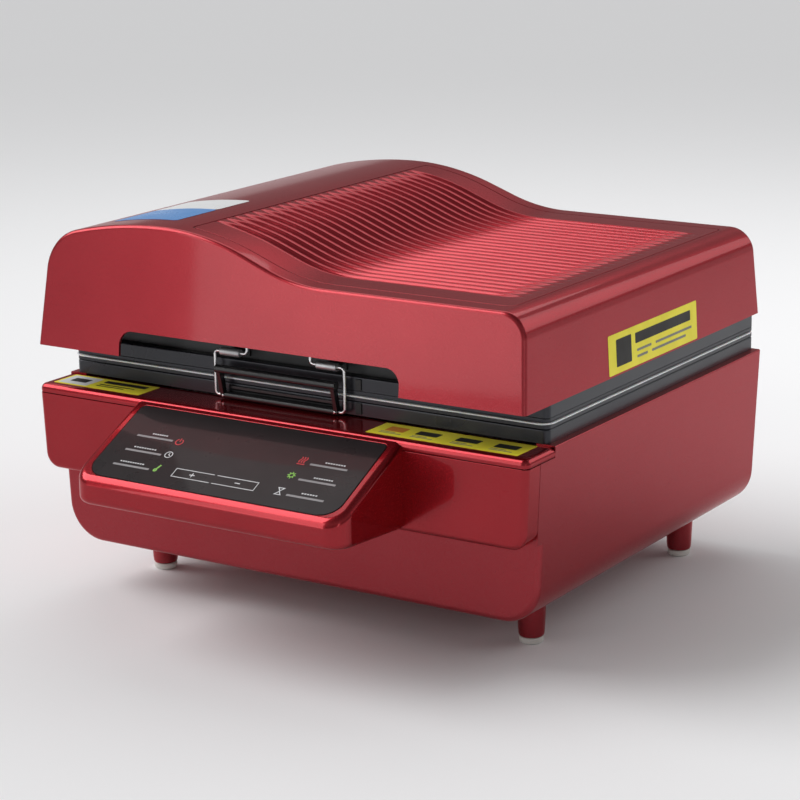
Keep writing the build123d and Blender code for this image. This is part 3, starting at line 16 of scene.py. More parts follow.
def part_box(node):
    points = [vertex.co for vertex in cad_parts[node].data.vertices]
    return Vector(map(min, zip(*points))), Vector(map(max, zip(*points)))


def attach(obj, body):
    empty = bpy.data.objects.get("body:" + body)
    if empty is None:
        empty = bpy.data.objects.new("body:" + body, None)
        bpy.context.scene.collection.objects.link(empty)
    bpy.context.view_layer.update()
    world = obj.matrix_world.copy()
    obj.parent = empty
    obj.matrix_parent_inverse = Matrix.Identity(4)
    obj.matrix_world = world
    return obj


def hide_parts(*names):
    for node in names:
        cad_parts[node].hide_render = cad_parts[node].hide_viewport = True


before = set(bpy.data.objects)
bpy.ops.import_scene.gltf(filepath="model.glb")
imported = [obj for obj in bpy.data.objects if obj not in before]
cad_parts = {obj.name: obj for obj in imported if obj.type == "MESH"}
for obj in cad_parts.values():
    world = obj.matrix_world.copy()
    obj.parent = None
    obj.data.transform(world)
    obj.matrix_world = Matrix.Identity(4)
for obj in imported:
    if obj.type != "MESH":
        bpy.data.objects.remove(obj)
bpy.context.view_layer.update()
MM = 0.001


def cad_box(node):
    """Lowest and highest corner of a CAD node in millimetres."""
    low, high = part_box(node)
    return [v / MM for v in low], [v / MM for v in high]


# %% [markdown]
# ## Shader helpers
# Every finish starts from the Principled shader. Its plain numbers stay on its own sockets, and
# only what really varies over a surface, such as grain, flakes and rubbed patches, comes from
# noise. The noise reads Object coordinates, so it stays fixed to the piece when a joint moves.

# %% Small node helpers for the finishes
def wire(tree, value, socket):
    """Set a socket to a number or colour, or link an output to it."""
    if isinstance(value, bpy.types.NodeSocket):
        tree.links.new(value, socket)
    else:
        socket.default_value = value


def maths(tree, operation, *values, clamp=False):
    """One Math node; returns its output."""
    node = tree.nodes.new("ShaderNodeMath")
    node.operation = operation
    node.use_clamp = clamp
    for value, socket in zip(values, node.inputs):
        wire(tree, value, socket)
    return node.outputs[0]


def new_finish(name, colour, metallic=0.0, roughness=0.4, **sockets):
    """Material with a Principled shader; other sockets by name, spaces as underscores."""
    material = bpy.data.materials.new(name)
    material.use_nodes = True
    material.diffuse_color = (*colour, 1)
    shader = material.node_tree.nodes["Principled BSDF"]
    shader.inputs["Base Color"].default_value = (*colour, 1)
    shader.inputs["Metallic"].default_value = metallic
    shader.inputs["Roughness"].default_value = roughness
    for key, value in sockets.items():
        shader.inputs[key.replace("_", " ")].default_value = value
    return material


def object_noise(tree, size, detail=3.0, stretch=(1, 1, 1)):
    """Noise with features of about size millimetres, fixed to the piece."""
    place = tree.nodes.new("ShaderNodeTexCoord")
    mapping = tree.nodes.new("ShaderNodeMapping")
    mapping.inputs["Scale"].default_value = stretch
    noise = tree.nodes.new("ShaderNodeTexNoise")
    noise.inputs["Scale"].default_value = 1 / (size * MM)
    noise.inputs["Detail"].default_value = detail
    tree.links.new(place.outputs["Object"], mapping.inputs["Vector"])
    tree.links.new(mapping.outputs["Vector"], noise.inputs["Vector"])
    return noise.outputs["Fac"]


def between(tree, factor, low, high):
    """Map noise round its middle to a range of numbers."""
    node = tree.nodes.new("ShaderNodeMapRange")
    wire(tree, factor, node.inputs["Value"])
    node.inputs["From Min"].default_value = 0.3
    node.inputs["From Max"].default_value = 0.7
    node.inputs["To Min"].default_value = low
    node.inputs["To Max"].default_value = high
    return node.outputs["Result"]


def mix_colours(tree, factor, first, second):
    """Blend two colours by a factor."""
    node = tree.nodes.new("ShaderNodeMix")
    node.data_type = "RGBA"
    wire(tree, factor, node.inputs[0])
    node.inputs[6].default_value = (*first, 1)
    node.inputs[7].default_value = (*second, 1)
    return node.outputs[2]


def bumps(tree, height, strength, depth):
    """Bump node for the shader's normal; depth in millimetres."""
    node = tree.nodes.new("ShaderNodeBump")
    node.inputs["Strength"].default_value = strength
    node.inputs["Distance"].default_value = depth * MM
    tree.links.new(height, node.inputs["Height"])
    return node.outputs["Normal"]


# %% [markdown]
# ## The red finishes
# The case is wine red with aluminium flakes under clear lacquer. The mouldings are glossier than
# the stoved sheet steel. Both need three scales: flakes that glint, a soft cloudiness from the
# spray gun, and the very slight orange peel that bends reflections on any sprayed panel.

# %% Metallic red lacquer
CLOUD_SIZE, FLAKE_SIZE, PEEL_SIZE = 90, 0.7, 3.5
FLAKE_METALLIC = 0.80
FLAKE_EDGE_TINT = (1.0, 0.45, 0.47, 1)


def red_lacquer(name, colour, deep, roughness, coat, coat_roughness):
    """Flake paint: two reds in clouds, glinting flakes, orange peel under a clear coat."""
    material = new_finish(name, colour, FLAKE_METALLIC, roughness, Coat_Weight=coat,
                          Specular_IOR_Level=0.25, Specular_Tint=FLAKE_EDGE_TINT,
                          Coat_Roughness=coat_roughness, Coat_IOR=1.5)
    tree = material.node_tree
    shader = tree.nodes["Principled BSDF"]
    clouds = object_noise(tree, CLOUD_SIZE, 2)
    flakes = object_noise(tree, FLAKE_SIZE, 1)
    peel = object_noise(tree, PEEL_SIZE, 2)
    tint = maths(tree, "MULTIPLY_ADD", between(tree, flakes, -0.2, 0.2), 1.0,
                 between(tree, clouds, 0.2, 0.6), clamp=True)
    wire(tree, mix_colours(tree, tint, colour, deep), shader.inputs["Base Color"])
    wire(tree, between(tree, flakes, roughness - 0.04, roughness + 0.04), shader.inputs["Roughness"])
    wire(tree, bumps(tree, peel, 0.05, 0.2), shader.inputs["Normal"])
    wire(tree, bumps(tree, peel, 0.03, 0.2), shader.inputs["Coat Normal"])
    return material


RED_MOULDING = red_lacquer("red moulding", (0.315, 0.024, 0.032), (0.26, 0.016, 0.023),
                           roughness=0.30, coat=0.35, coat_roughness=0.05)
# Copy of the same moulding for housing, cap and console: glossier, and its deeper red is painted shade.
RED_MOULDING_SHADED = red_lacquer("red lower moulding", (0.33, 0.015, 0.022), (0.26, 0.010, 0.016),
                        roughness=0.24, coat=0.40, coat_roughness=0.03)
RED_SHEET = red_lacquer("red sheet steel", (0.30, 0.026, 0.034), (0.28, 0.015, 0.023),
                        roughness=0.30, coat=0.42, coat_roughness=0.06)
print("Red finishes made")


# %% [markdown]
# ## Frames, steel, glass and rubber
# The frames are satin black, coated aluminium, the latch wires are plated steel, and the parts
# behind the lid are heat-proof black. Each function below is one family of finish, so two metals
# differ only in the numbers that a maker would give: colour, gloss and the size of the grain.

# %% Coated, bare and plated metal
def coated_metal(name, colour, roughness, grain, metallic=0.0):
    """Powder coat: fine grain in height and a little wear in gloss."""
    material = new_finish(name, colour, metallic, roughness)
    tree = material.node_tree
    shader = tree.nodes["Principled BSDF"]
    fine = object_noise(tree, grain, 3)
    patches = object_noise(tree, 60, 4)
    wire(tree, between(tree, patches, roughness - 0.06, roughness + 0.06), shader.inputs["Roughness"])
    lighter = tuple(min(1.0, c * 1.35 + 0.004) for c in colour)
    wire(tree, mix_colours(tree, between(tree, patches, 0.0, 1.0), colour, lighter),
         shader.inputs["Base Color"])
    wire(tree, bumps(tree, fine, 0.12, 0.08), shader.inputs["Normal"])
    return material


def brushed_metal(name, colour, roughness, along=(1, 1, 1), scratch=0.5):
    """Bare or plated metal with fine lines along one axis and dull patches."""
    material = new_finish(name, colour, 1.0, roughness)
    tree = material.node_tree
    shader = tree.nodes["Principled BSDF"]
    lines = object_noise(tree, scratch, 2, along)
    dull = object_noise(tree, 45, 5)
    worn = maths(tree, "ADD", between(tree, lines, -0.04, 0.04),
                 between(tree, dull, roughness - 0.05, roughness + 0.1))
    wire(tree, worn, shader.inputs["Roughness"])
    darker = tuple(c * 0.82 for c in colour)
    wire(tree, mix_colours(tree, between(tree, dull, 0.0, 1.0), colour, darker),
         shader.inputs["Base Color"])
    wire(tree, bumps(tree, lines, 0.08, 0.05), shader.inputs["Normal"])
    return material


BLACK_FRAME = coated_metal("black coated frame", (0.022, 0.023, 0.029), 0.32, 0.9, 0.35)
BLACK_BOX = coated_metal("heat-proof black", (0.008, 0.008, 0.009), 0.45, 1.2)
# Lever and catch are black, and darker than the other black parts: partly their own colour, partly
# painted shade from the lid above.
BLACK_LEVER_SHADED = coated_metal("black lever", (0.005, 0.005, 0.006), 0.32, 1.0)
SATIN_BARREL = brushed_metal("satin latch barrel", (0.62, 0.62, 0.63), 0.50)
BRIGHT_STEEL = brushed_metal("bright plated steel", (0.80, 0.80, 0.81), 0.16)
WIRE_STEEL = brushed_metal("plated latch wire", (0.93, 0.93, 0.94), 0.36)
ZINC_STEEL = brushed_metal("zinc plated steel", (0.60, 0.61, 0.61), 0.34)
SATIN_ALUMINIUM = brushed_metal("satin aluminium", (0.74, 0.75, 0.76), 0.36, (1, 12, 1), 2.0)
POLISHED_REFLECTOR = brushed_metal("polished reflector", (0.88, 0.89, 0.90), 0.10, (0.1, 4, 1), 2.0)
BRASS = brushed_metal("turned brass", (0.80, 0.60, 0.28), 0.25)
CAST_GREY = brushed_metal("cast pump metal", (0.42, 0.43, 0.44), 0.5, (1, 1, 1), 1.2)


# %% Plastic, rubber, silicone, glass and the rest
def moulded_plastic(name, colour, roughness, grain=0.8, strength=0.1, **sockets):
    """Plastic or rubber with a fine moulded grain."""
    material = new_finish(name, colour, 0.0, roughness, **sockets)
    tree = material.node_tree
    shader = tree.nodes["Principled BSDF"]
    fine = object_noise(tree, grain, 3)
    soft = object_noise(tree, 30, 3)
    wire(tree, between(tree, soft, roughness - 0.05, roughness + 0.07), shader.inputs["Roughness"])
    darker = tuple(c * 0.8 for c in colour)
    wire(tree, mix_colours(tree, between(tree, soft, 0.0, 0.6), colour, darker),
         shader.inputs["Base Color"])
    wire(tree, bumps(tree, fine, strength, 0.06), shader.inputs["Normal"])
    return material


BLACK_PLASTIC = moulded_plastic("black plastic", (0.016, 0.016, 0.017), 0.45)
SEAL_RUBBER = moulded_plastic("seal rubber", (0.030, 0.030, 0.031), 0.6)
PALE_RUBBER = moulded_plastic("pale foot rubber", (0.66, 0.64, 0.60), 0.55)
SILICONE = moulded_plastic("silicone membrane", (0.86, 0.87, 0.87), 0.34, 3.0, 0.02,
                           Subsurface_Weight=0.15, Subsurface_Scale=0.002, Transmission_Weight=0.06)
CERAMIC = moulded_plastic("ceramic", (0.80, 0.78, 0.72), 0.65, 0.6, 0.2)
QUARTZ = moulded_plastic("milky quartz", (0.88, 0.86, 0.82), 0.18, 4.0, 0.03,
                         Transmission_Weight=0.55, IOR=1.46)
TOUCH_GLASS = moulded_plastic("touch panel film", (0.016, 0.012, 0.013), 0.30, 5.0, 0.008,
                              Specular_IOR_Level=0.12, Coat_Weight=0.16, Coat_Roughness=0.04)


def print_ink(name, colour, roughness=0.4, **sockets):
    """Smooth printed film or ink."""
    return moulded_plastic(name, colour, roughness, 3.0, 0.02, **sockets)


LABEL_YELLOW = print_ink("label yellow", (1.0, 0.88, 0.05), 0.35, Specular_IOR_Level=0.2)
LABEL_BLACK = print_ink("label black", (0.018, 0.016, 0.014), Specular_IOR_Level=0.2)
LABEL_WHITE = print_ink("label white", (0.84, 0.85, 0.86), 0.3)
LABEL_BLUE = print_ink("label blue", (0.08, 0.28, 0.66), 0.3)
LABEL_GREY = print_ink("label grey", (0.26, 0.25, 0.22), Specular_IOR_Level=0.2)
LABEL_ORANGE = print_ink("label orange", (0.75, 0.26, 0.03), 0.35, Specular_IOR_Level=0.2)
MARK_GREY = print_ink("mark grey", (0.30, 0.29, 0.30))
MARK_WHITE = print_ink("mark white", (0.75, 0.76, 0.78))
MARK_RED = print_ink("mark red", (0.62, 0.03, 0.04))
MARK_GREEN = print_ink("mark green", (0.28, 0.62, 0.10))
FELT = moulded_plastic("fibre blanket", (0.80, 0.78, 0.71), 0.9, 1.5, 0.6)
BOARD_DARK, BOARD_PALE = (0.01, 0.09, 0.03), (0.05, 0.24, 0.09)


def board_lacquer():
    """Green circuit board with paler copper tracks under the lacquer."""
    material = new_finish("circuit board", (0.02, 0.14, 0.05), 0.0, 0.35, Coat_Weight=0.5)
    tree = material.node_tree
    shader = tree.nodes["Principled BSDF"]
    tracks = object_noise(tree, 5, 0, (1, 6, 1))
    wire(tree, mix_colours(tree, between(tree, tracks, 0.0, 1.0), BOARD_DARK, BOARD_PALE),
         shader.inputs["Base Color"])
    return material


CIRCUIT_BOARD = board_lacquer()
print("Finishes in all:", len(bpy.data.materials))


# %% [markdown]
# ## Mesh helpers
# A skin is described as a list of faces, each a list of points in millimetres. Points that meet
# are merged afterwards, so no index has to be counted by hand. Sheet thickness comes from
# Solidify, round edges from Bevel, and Weighted Normal keeps flat faces flat beside them.

# %% Faces to mesh
MERGE_GAP = 0.004
PIECE_FACTS = {}


def in_scene(name, data):
    """New object of some data, linked to the scene."""
    made = bpy.data.objects.new(name, data)
    bpy.context.scene.collection.objects.link(made)
    return made


def make_piece(name, faces, material, body, slot, replaced=(), outward=True):
    """Mesh object from faces given as lists of points; it rides on a CAD body."""
    mesh = bmesh.new()
    for face in faces:
        mesh.faces.new([mesh.verts.new(Vector(p) * MM) for p in face])
    bmesh.ops.remove_doubles(mesh, verts=mesh.verts, dist=MERGE_GAP * MM)
    bmesh.ops.dissolve_degenerate(mesh, edges=mesh.edges, dist=MERGE_GAP / 2 * MM)
    if outward:
        bmesh.ops.recalc_face_normals(mesh, faces=mesh.faces)
    data = bpy.data.meshes.new(name)
    mesh.to_mesh(data)
    mesh.free()
    data.materials.append(material)
    piece = in_scene(name, data)
    PIECE_FACTS[name] = (body, slot, tuple(replaced))
    return piece


def bake(piece):
    """Put what the modifiers make in the place of the piece's own mesh."""
    evaluated = piece.evaluated_get(bpy.context.evaluated_depsgraph_get())
    baked = bpy.data.meshes.new_from_object(evaluated)
    piece.modifiers.clear()
    piece.data = baked
    return baked


def settle(piece, sharp=38):
    for polygon in piece.data.polygons:
        polygon.use_smooth = True
    baked = bake(piece)
    baked.name = piece.name
    for polygon in baked.polygons:
        polygon.use_smooth = True
    baked.set_sharp_from_angle(angle=math.radians(sharp))
    weighted = piece.modifiers.new("weighted normals", "WEIGHTED_NORMAL")
    weighted.keep_sharp = True
    body, slot, replaced = PIECE_FACTS[piece.name]
    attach(piece, body)
    if replaced:
        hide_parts(*replaced)
    print(f"{piece.name}: {len(baked.polygons)} faces")
    return piece


def round_edges(piece, radius, segments=3, angle=50):
    """Bevel the edges sharper than an angle."""
    bevel = piece.modifiers.new("round edges", "BEVEL")
    bevel.width = radius * MM
    bevel.segments = segments
    bevel.limit_method = "ANGLE"
    bevel.angle_limit = math.radians(angle)
    bevel.miter_outer = "MITER_ARC"
    return bevel


def thicken(piece, thickness):
    """Give an open skin its wall, inwards."""
    wall = piece.modifiers.new("wall", "SOLIDIFY")
    wall.thickness = thickness * MM
    wall.offset = -1
    wall.use_even_offset = True
    wall.use_quality_normals = True
    return wall


def weigh_edges(piece, weight_of, angle=40):
    """Bevel weight for every edge that bends more than an angle."""
    mesh = bmesh.new()
    mesh.from_mesh(piece.data)
    layer = mesh.edges.layers.float.new("bevel_weight_edge")
    for edge in mesh.edges:
        if len(edge.link_faces) == 2 and edge.calc_face_angle() > math.radians(angle):
            edge[layer] = weight_of(*(v.co / MM for v in edge.verts))
    mesh.to_mesh(piece.data)
    mesh.free()


# %% Outlines, loops and strips
def ring(radius, count):
    """Points of a whole circle round the origin, as (x, y)."""
    angles = [2 * math.pi * i / count for i in range(count)]
    return [(radius * math.cos(a), radius * math.sin(a)) for a in angles]


def arc_points(centre, radius, start, stop, step=6.0):
    """Points on an arc between two angles in degrees, both ends included."""
    count = max(2, math.ceil(abs(stop - start) / step))
    angles = [math.radians(start + (stop - start) * i / count) for i in range(count + 1)]
    return [Vector((centre[0] + radius * math.cos(a), centre[1] + radius * math.sin(a)))
            for a in angles]


def rounded(corners, radii, step=9.0, closed=True):
    """Outline through flat corners, each rounded by its own radius."""
    points = []
    count = len(corners)
    for i, (corner, radius) in enumerate(zip(corners, radii)):
        here = Vector(corner)
        if radius <= 0 or (not closed and i in (0, count - 1)):
            points.append(here)
            continue
        back = (Vector(corners[i - 1]) - here).normalized()
        ahead = (Vector(corners[(i + 1) % count]) - here).normalized()
        half = back.angle(ahead) / 2
        centre = here + (back + ahead).normalized() * radius / math.sin(half)
        first = here + back * radius / math.tan(half) - centre
        last = here + ahead * radius / math.tan(half) - centre
        start = math.degrees(math.atan2(first.y, first.x))
        turn = math.degrees(math.atan2(last.y, last.x)) - start
        turn = (turn + 180) % 360 - 180
        points += arc_points(centre, radius, start, start + turn, step)
    return points


def strip(loop_a, loop_b, closed=False):
    """Quads between two loops of the same length."""
    count = len(loop_a)
    last = count if closed else count - 1
    return [[loop_a[i], loop_a[(i + 1) % count], loop_b[(i + 1) % count], loop_b[i]]
            for i in range(last)]


def loft(loops, closed=False):
    """Strips through several loops."""
    faces = []
    for loop_a, loop_b in zip(loops, loops[1:]):
        faces += strip(loop_a, loop_b, closed)
    return faces


def spread(count, pitch):
    """Evenly spaced places about zero."""
    return [(i - (count - 1) / 2) * pitch for i in range(count)]


def steps(start, stop, size):
    """Evenly spaced values from start to stop, at most size apart."""
    count = max(1, math.ceil(abs(stop - start) / size - 1e-6))
    return [start + (stop - start) * i / count for i in range(count + 1)]


# %% [markdown]
# ## The lid's wave
# From the front the lid has a low hump on the left that dips in one smooth wave to a flat deck.
# The curve is made of tangent arcs: a wide one up from the left wall, a tighter one over the
# crest, a straight steep stretch, a hollow, and the deck. Written as a formula, the same wave
# gives the skin, the ribbed cover and the place of the sticker.

# %% The wave as a formula
LID_LOW, LID_HIGH = cad_box("lid_shell")
LID_HALF = LID_HIGH[0]
LID_FOOT_Z = LID_LOW[2]
LEAN_LEFT, LEAN_RIGHT, LEAN_ENDS = 6.0, 3.2, 5.65
HUMP_X, HUMP_Z = -LID_HALF + 148.9, LID_HIGH[2]
HUMP_R_LEFT, HUMP_R_RIGHT = 452.0, 275.0
HUMP_SLOPE = 20.8
VALLEY_R = 180.0
DECK_Z = HUMP_Z - 40.0
SHOULDER_LEFT, SHOULDER_RIGHT = 46.0, 25.0

slope = math.radians(HUMP_SLOPE)
HUMP_END_X = HUMP_X + HUMP_R_RIGHT * math.sin(slope)
HUMP_END_Z = HUMP_Z - HUMP_R_RIGHT * (1 - math.cos(slope))
VALLEY_TOP_Z = DECK_Z + VALLEY_R * (1 - math.cos(slope))
VALLEY_X = HUMP_END_X + (HUMP_END_Z - VALLEY_TOP_Z) / math.tan(slope)
VALLEY_END_X = VALLEY_X + VALLEY_R * math.sin(slope)


def wave_z(x):
    """Height of the lid's top between its shoulders."""
    if x < HUMP_END_X:
        radius = HUMP_R_LEFT if x < HUMP_X else HUMP_R_RIGHT
        return HUMP_Z - radius + math.sqrt(radius**2 - (x - HUMP_X) ** 2)
    if x < VALLEY_X:
        return HUMP_END_Z - (x - HUMP_END_X) * math.tan(slope)
    if x < VALLEY_END_X:
        return DECK_Z + VALLEY_R - math.sqrt(VALLEY_R**2 - (VALLEY_END_X - x) ** 2)
    return DECK_Z


def wave_up(x):
    """Direction square to the lid's top, as x and z."""
    if x < HUMP_END_X:
        radius = HUMP_R_LEFT if x < HUMP_X else HUMP_R_RIGHT
        lean = math.asin((x - HUMP_X) / radius)
    elif x < VALLEY_END_X:
        lean = min(slope, math.asin(min(1.0, (VALLEY_END_X - x) / VALLEY_R)))
    else:
        lean = 0.0
    return Vector((math.sin(lean), math.cos(lean)))


def shoulder_arcs():
    """Tangent arcs between the walls and the top, left and right."""
    lean = math.radians(LEAN_LEFT)
    along = Vector((math.sin(lean), math.cos(lean)))
    inward = Vector((math.cos(lean), -math.sin(lean)))
    foot = Vector((-LID_HALF, LID_FOOT_Z))
    middle = Vector((HUMP_X, HUMP_Z - HUMP_R_LEFT))
    start = foot + inward * SHOULDER_LEFT - middle
    reach = -start.dot(along) + math.sqrt(
        start.dot(along) ** 2 - start.length_squared + (HUMP_R_LEFT - SHOULDER_LEFT) ** 2)
    centre = middle + start + along * reach
    up = (centre - middle).normalized()
    crest = math.degrees(math.atan2(up.y, up.x))
    left = arc_points(centre, SHOULDER_LEFT, 180 - LEAN_LEFT, crest, 5)
    lean = math.radians(LEAN_RIGHT)
    wall_x = LID_HALF - (DECK_Z - LID_FOOT_Z) * math.tan(lean)
    across = SHOULDER_RIGHT / math.tan((math.pi / 2 + lean) / 2)
    right = arc_points((wall_x - across, DECK_Z - SHOULDER_RIGHT), SHOULDER_RIGHT, 90, LEAN_RIGHT, 6)
    return left, right


left_shoulder, right_shoulder = shoulder_arcs()
print("Shoulders end at", [round(v, 1) for v in (left_shoulder[-1].x, right_shoulder[0].x)])


# %% [markdown]
# ## Cutting the cover's opening out of a grid
# The cover sits in a rounded opening of the lid. If the grid's lines are spaced like the corner's
# own arc, each corner point lies on a grid crossing, and the cells it cuts fall into two
# triangles. One rule then gives both the lid with its hole and the cover that fills it.

# %% Grid cells inside or outside a rounded rectangle
COVER_X0, COVER_X1 = HUMP_X + 23.7, LID_HALF - 29.6
COVER_INSET = 30.0
COVER_GAP = 1.15
COVER_CORNER = 8.0
LID_Y0, LID_Y1 = LID_LOW[1], LID_HIGH[1]
LID_MID_Y = (LID_Y0 + LID_Y1) / 2
CORNER_STEPS = 4


def corner_lines(low, high, radius):
    """Grid lines that carry the points of the rounded corners."""
    turns = [math.pi / 2 * i / CORNER_STEPS for i in range(CORNER_STEPS + 1)]
    near = [low + radius * (1 - math.cos(a)) for a in turns]
    far = [high - radius * (1 - math.cos(a)) for a in turns]
    return near + far


def outside(x, y, box, radius):
    """Distance outside a rounded rectangle; negative inside."""
    mid_x, mid_y = (box[0] + box[1]) / 2, (box[2] + box[3]) / 2
    dx = abs(x - mid_x) - (box[1] - box[0]) / 2 + radius
    dy = abs(y - mid_y) - (box[3] - box[2]) / 2 + radius
    return math.hypot(max(dx, 0), max(dy, 0)) + min(max(dx, dy), 0) - radius


def grid_faces(xs, ys, box, radius, keep_outside, place):
    """Cells of a grid on one side of a rounded rectangle, each point put in place."""
    sign = 1 if keep_outside else -1
    faces = []
    for x0, x1 in zip(xs, xs[1:]):
        for y0, y1 in zip(ys, ys[1:]):
            cell = [(x0, y0), (x1, y0), (x1, y1), (x0, y1)]
            kept = [p for p in cell if sign * outside(*p, box, radius) > -0.01]
            middle = outside((x0 + x1) / 2, (y0 + y1) / 2, box, radius) * sign
            if len(kept) == 3 or (len(kept) == 4 and middle > -0.01):
                faces.append([place(*p) for p in kept])
    return faces


def merged(values, least=0.05):
    """Sorted values without near repeats."""
    out = []
    for value in sorted(values):
        if not out or value - out[-1] > least:
            out.append(value)
    return out


# %% [markdown]
# ## The lid's shell
# The lid is one moulding, 3 mm thick and open below. Its skin is swept from the front wall to the
# rear wall, which both lean inwards. The front wall is a single face that goes round the latch
# window. Bevel rounds the rims before Solidify makes the wall, so inside and outside stay parallel.

# %% Lid shell
WINDOW_X0, WINDOW_X1 = -LID_HALF + 102.6, LID_HALF - 132.6
WINDOW_TOP = LID_FOOT_Z + 25.5
WINDOW_CORNER = 15.0
LID_WALL = 3.0
LID_EDGE = 4.0
MOULD_EDGE = 0.5
NO_OPENING = (9000, 9001, 0, 1)
end_lean = math.tan(math.radians(LEAN_ENDS))
COVER_BOX = (COVER_X0, COVER_X1, LID_Y0 + COVER_INSET, LID_Y1 - COVER_INSET)


def lid_section():
    """The lid's outline in x and z from the left foot to the right foot."""
    top = merged(
        steps(left_shoulder[-1].x, right_shoulder[0].x, 6.0)
        + [COVER_X0, COVER_X1] + corner_lines(COVER_X0, COVER_X1, COVER_CORNER))
    top = [x for x in top if left_shoulder[-1].x + 0.5 < x < right_shoulder[0].x - 0.5]
    section = [Vector((-LID_HALF, LID_FOOT_Z))] + left_shoulder
    section += [Vector((x, wave_z(x))) for x in top]
    return section + right_shoulder + [Vector((LID_HALF, LID_FOOT_Z))]


def lid_end(point, side):
    """A section point carried to the leaning front (-1) or rear (+1) wall."""
    y = LID_Y0 if side < 0 else LID_Y1
    return Vector((point.x, y - side * (point.y - LID_FOOT_Z) * end_lean, point.y))


def lid_skin():
    """Top and sides as a grid with the cover's opening, then the two end walls."""
    section = lid_section()
    rows = merged([LID_Y0 + COVER_INSET, LID_Y1 - COVER_INSET]
                  + corner_lines(COVER_BOX[2], COVER_BOX[3], COVER_CORNER))
    faces = []
    for a, b in zip(section, section[1:]):
        front, rear = [lid_end(p, -1) for p in (a, b)], [lid_end(p, 1) for p in (a, b)]
        row = [Vector((p.x, rows[0], p.y)) for p in (a, b)]
        faces.append([front[0], front[1], row[1], row[0]])
        row = [Vector((p.x, rows[-1], p.y)) for p in (a, b)]
        faces.append([row[0], row[1], rear[1], rear[0]])
        over_cover = a.y > DECK_Z - 20 and b.y > DECK_Z - 20
        box = COVER_BOX if over_cover else NO_OPENING
        faces += grid_faces(sorted((a.x, b.x)), rows, box, COVER_CORNER, True,
                            lambda x, y, a=a, b=b: Vector((x, y, (a if abs(x - a.x) < 1e-6 else b).y)))
    window = rounded([(WINDOW_X0, LID_FOOT_Z), (WINDOW_X0, WINDOW_TOP), (WINDOW_X1, WINDOW_TOP),
                      (WINDOW_X1, LID_FOOT_Z)], [0, WINDOW_CORNER, WINDOW_CORNER, 0])
    outline = section + window[::-1]
    faces.append([lid_end(p, -1) for p in outline])
    faces.append([lid_end(p, 1) for p in section])
    return faces


lid_shell = make_piece("lid_moulding", lid_skin(), RED_MOULDING, "lid", "red_moulding", ["lid_shell"])
round_edges(lid_shell, LID_EDGE, 5)
thicken(lid_shell, LID_WALL)
round_edges(lid_shell, MOULD_EDGE, 2, 60)
settle(lid_shell)


# %% [markdown]
# ## The ribbed cover
# Twenty-five round-bottomed grooves follow the wave and run out of the surface at both ends, so
# the ribs between them seem to grow out of the cover. The real tool cuts them with a round cutter
# on a path. Geometry Nodes can do the same: each point knows how deep the cutter is there, and the
# tree pushes it down by the cutter's circle. A smooth maximum rounds the crests between two
# grooves, as polishing and paint do, and that is what gives each rib its thin bright line. The
# grooves go 0.6 mm deeper than in the CAD solids, over the same stretch and with the same pitch.

# %% How deep the cutter runs
GROOVE_COUNT = 25
GROOVE_PITCH = 14.25
CUTTER_R = 7.2
GROOVE_DEPTH = 3.6
SOFT_CREST = 1.7
FULL_X0, FULL_X1 = COVER_X0 + 45.0, COVER_X1 - 54.0
RUNOUT_R = 230.0


def cut_depth(x):
    """Depth of the cutter below the cover at x; negative where it has left the surface."""
    if x < FULL_X0:
        lifted = HUMP_R_RIGHT + CUTTER_R - GROOVE_DEPTH
        angle = (math.asin((FULL_X0 - HUMP_X) / HUMP_R_RIGHT)
                 - math.asin((x - HUMP_X) / HUMP_R_RIGHT))
        return GROOVE_DEPTH - lifted * (1 / math.cos(angle) - 1)
    if x > FULL_X1:
        return GROOVE_DEPTH - RUNOUT_R + math.sqrt(RUNOUT_R**2 - (x - FULL_X1) ** 2)
    return GROOVE_DEPTH


# %% A small kit for Geometry Nodes trees
SOCKETS = {float: "NodeSocketFloat", int: "NodeSocketInt",
           bpy.types.Material: "NodeSocketMaterial", bpy.types.Object: "NodeSocketObject"}


class NodeTree:
    """A Geometry Nodes tree with named inputs, built one node at a time."""

    def __init__(self, name, **inputs):
        self.tree = bpy.data.node_groups.new(name, "GeometryNodeTree")
        self.tree.is_modifier = True
        face = self.tree.interface
        face.new_socket("Geometry", in_out="INPUT", socket_type="NodeSocketGeometry")
        self.keys, self.values = {}, inputs
        for label, value in inputs.items():
            kind = next(SOCKETS[t] for t in SOCKETS if isinstance(value, t))
            socket = face.new_socket(label.replace("_", " "), in_out="INPUT", socket_type=kind)
            self.keys[label] = socket.identifier
        face.new_socket("Geometry", in_out="OUTPUT", socket_type="NodeSocketGeometry")
        self.start = self.tree.nodes.new("NodeGroupInput")
        self.stop = self.tree.nodes.new("NodeGroupOutput")

    def given(self, label):
        """The output that carries a named input."""
        return self.start.outputs[label.replace("_", " ")]

    def node(self, kind, settings=None, **links):
        """New node; settings are its properties and links its sockets by name."""
        made = self.tree.nodes.new(kind)
        for key, value in (settings or {}).items():
            setattr(made, key, value)
        for key, value in links.items():
            label = key.replace("_", " ")
            socket = next(s for s in made.inputs if s.name == label and s.enabled)
            wire(self.tree, value, socket)
        return made

    def maths(self, operation, *values):
        """One Math node's output."""
        return maths(self.tree, operation, *values)

    def attribute(self, name, kind="FLOAT"):
        """The value that each point carries under a name."""
        settings = {"data_type": kind}
        return self.node("GeometryNodeInputNamedAttribute", settings, Name=name).outputs[0]

    def run(self, piece, geometry):
        """Close the tree, run it on a piece and leave the result as its plain mesh."""
        real = self.node("GeometryNodeRealizeInstances", Geometry=geometry)
        painted = self.node("GeometryNodeSetMaterial", Geometry=real.outputs[0],
                            Material=self.given("Finish"))
        self.tree.links.new(painted.outputs[0], self.stop.inputs[0])
        modifier = piece.modifiers.new(self.tree.name, "NODES")
        modifier.node_group = self.tree
        for label, key in self.keys.items():
            modifier[key] = self.values[label]
        print(f"{self.tree.name}: {len(bake(piece).polygons)} faces")
        return piece


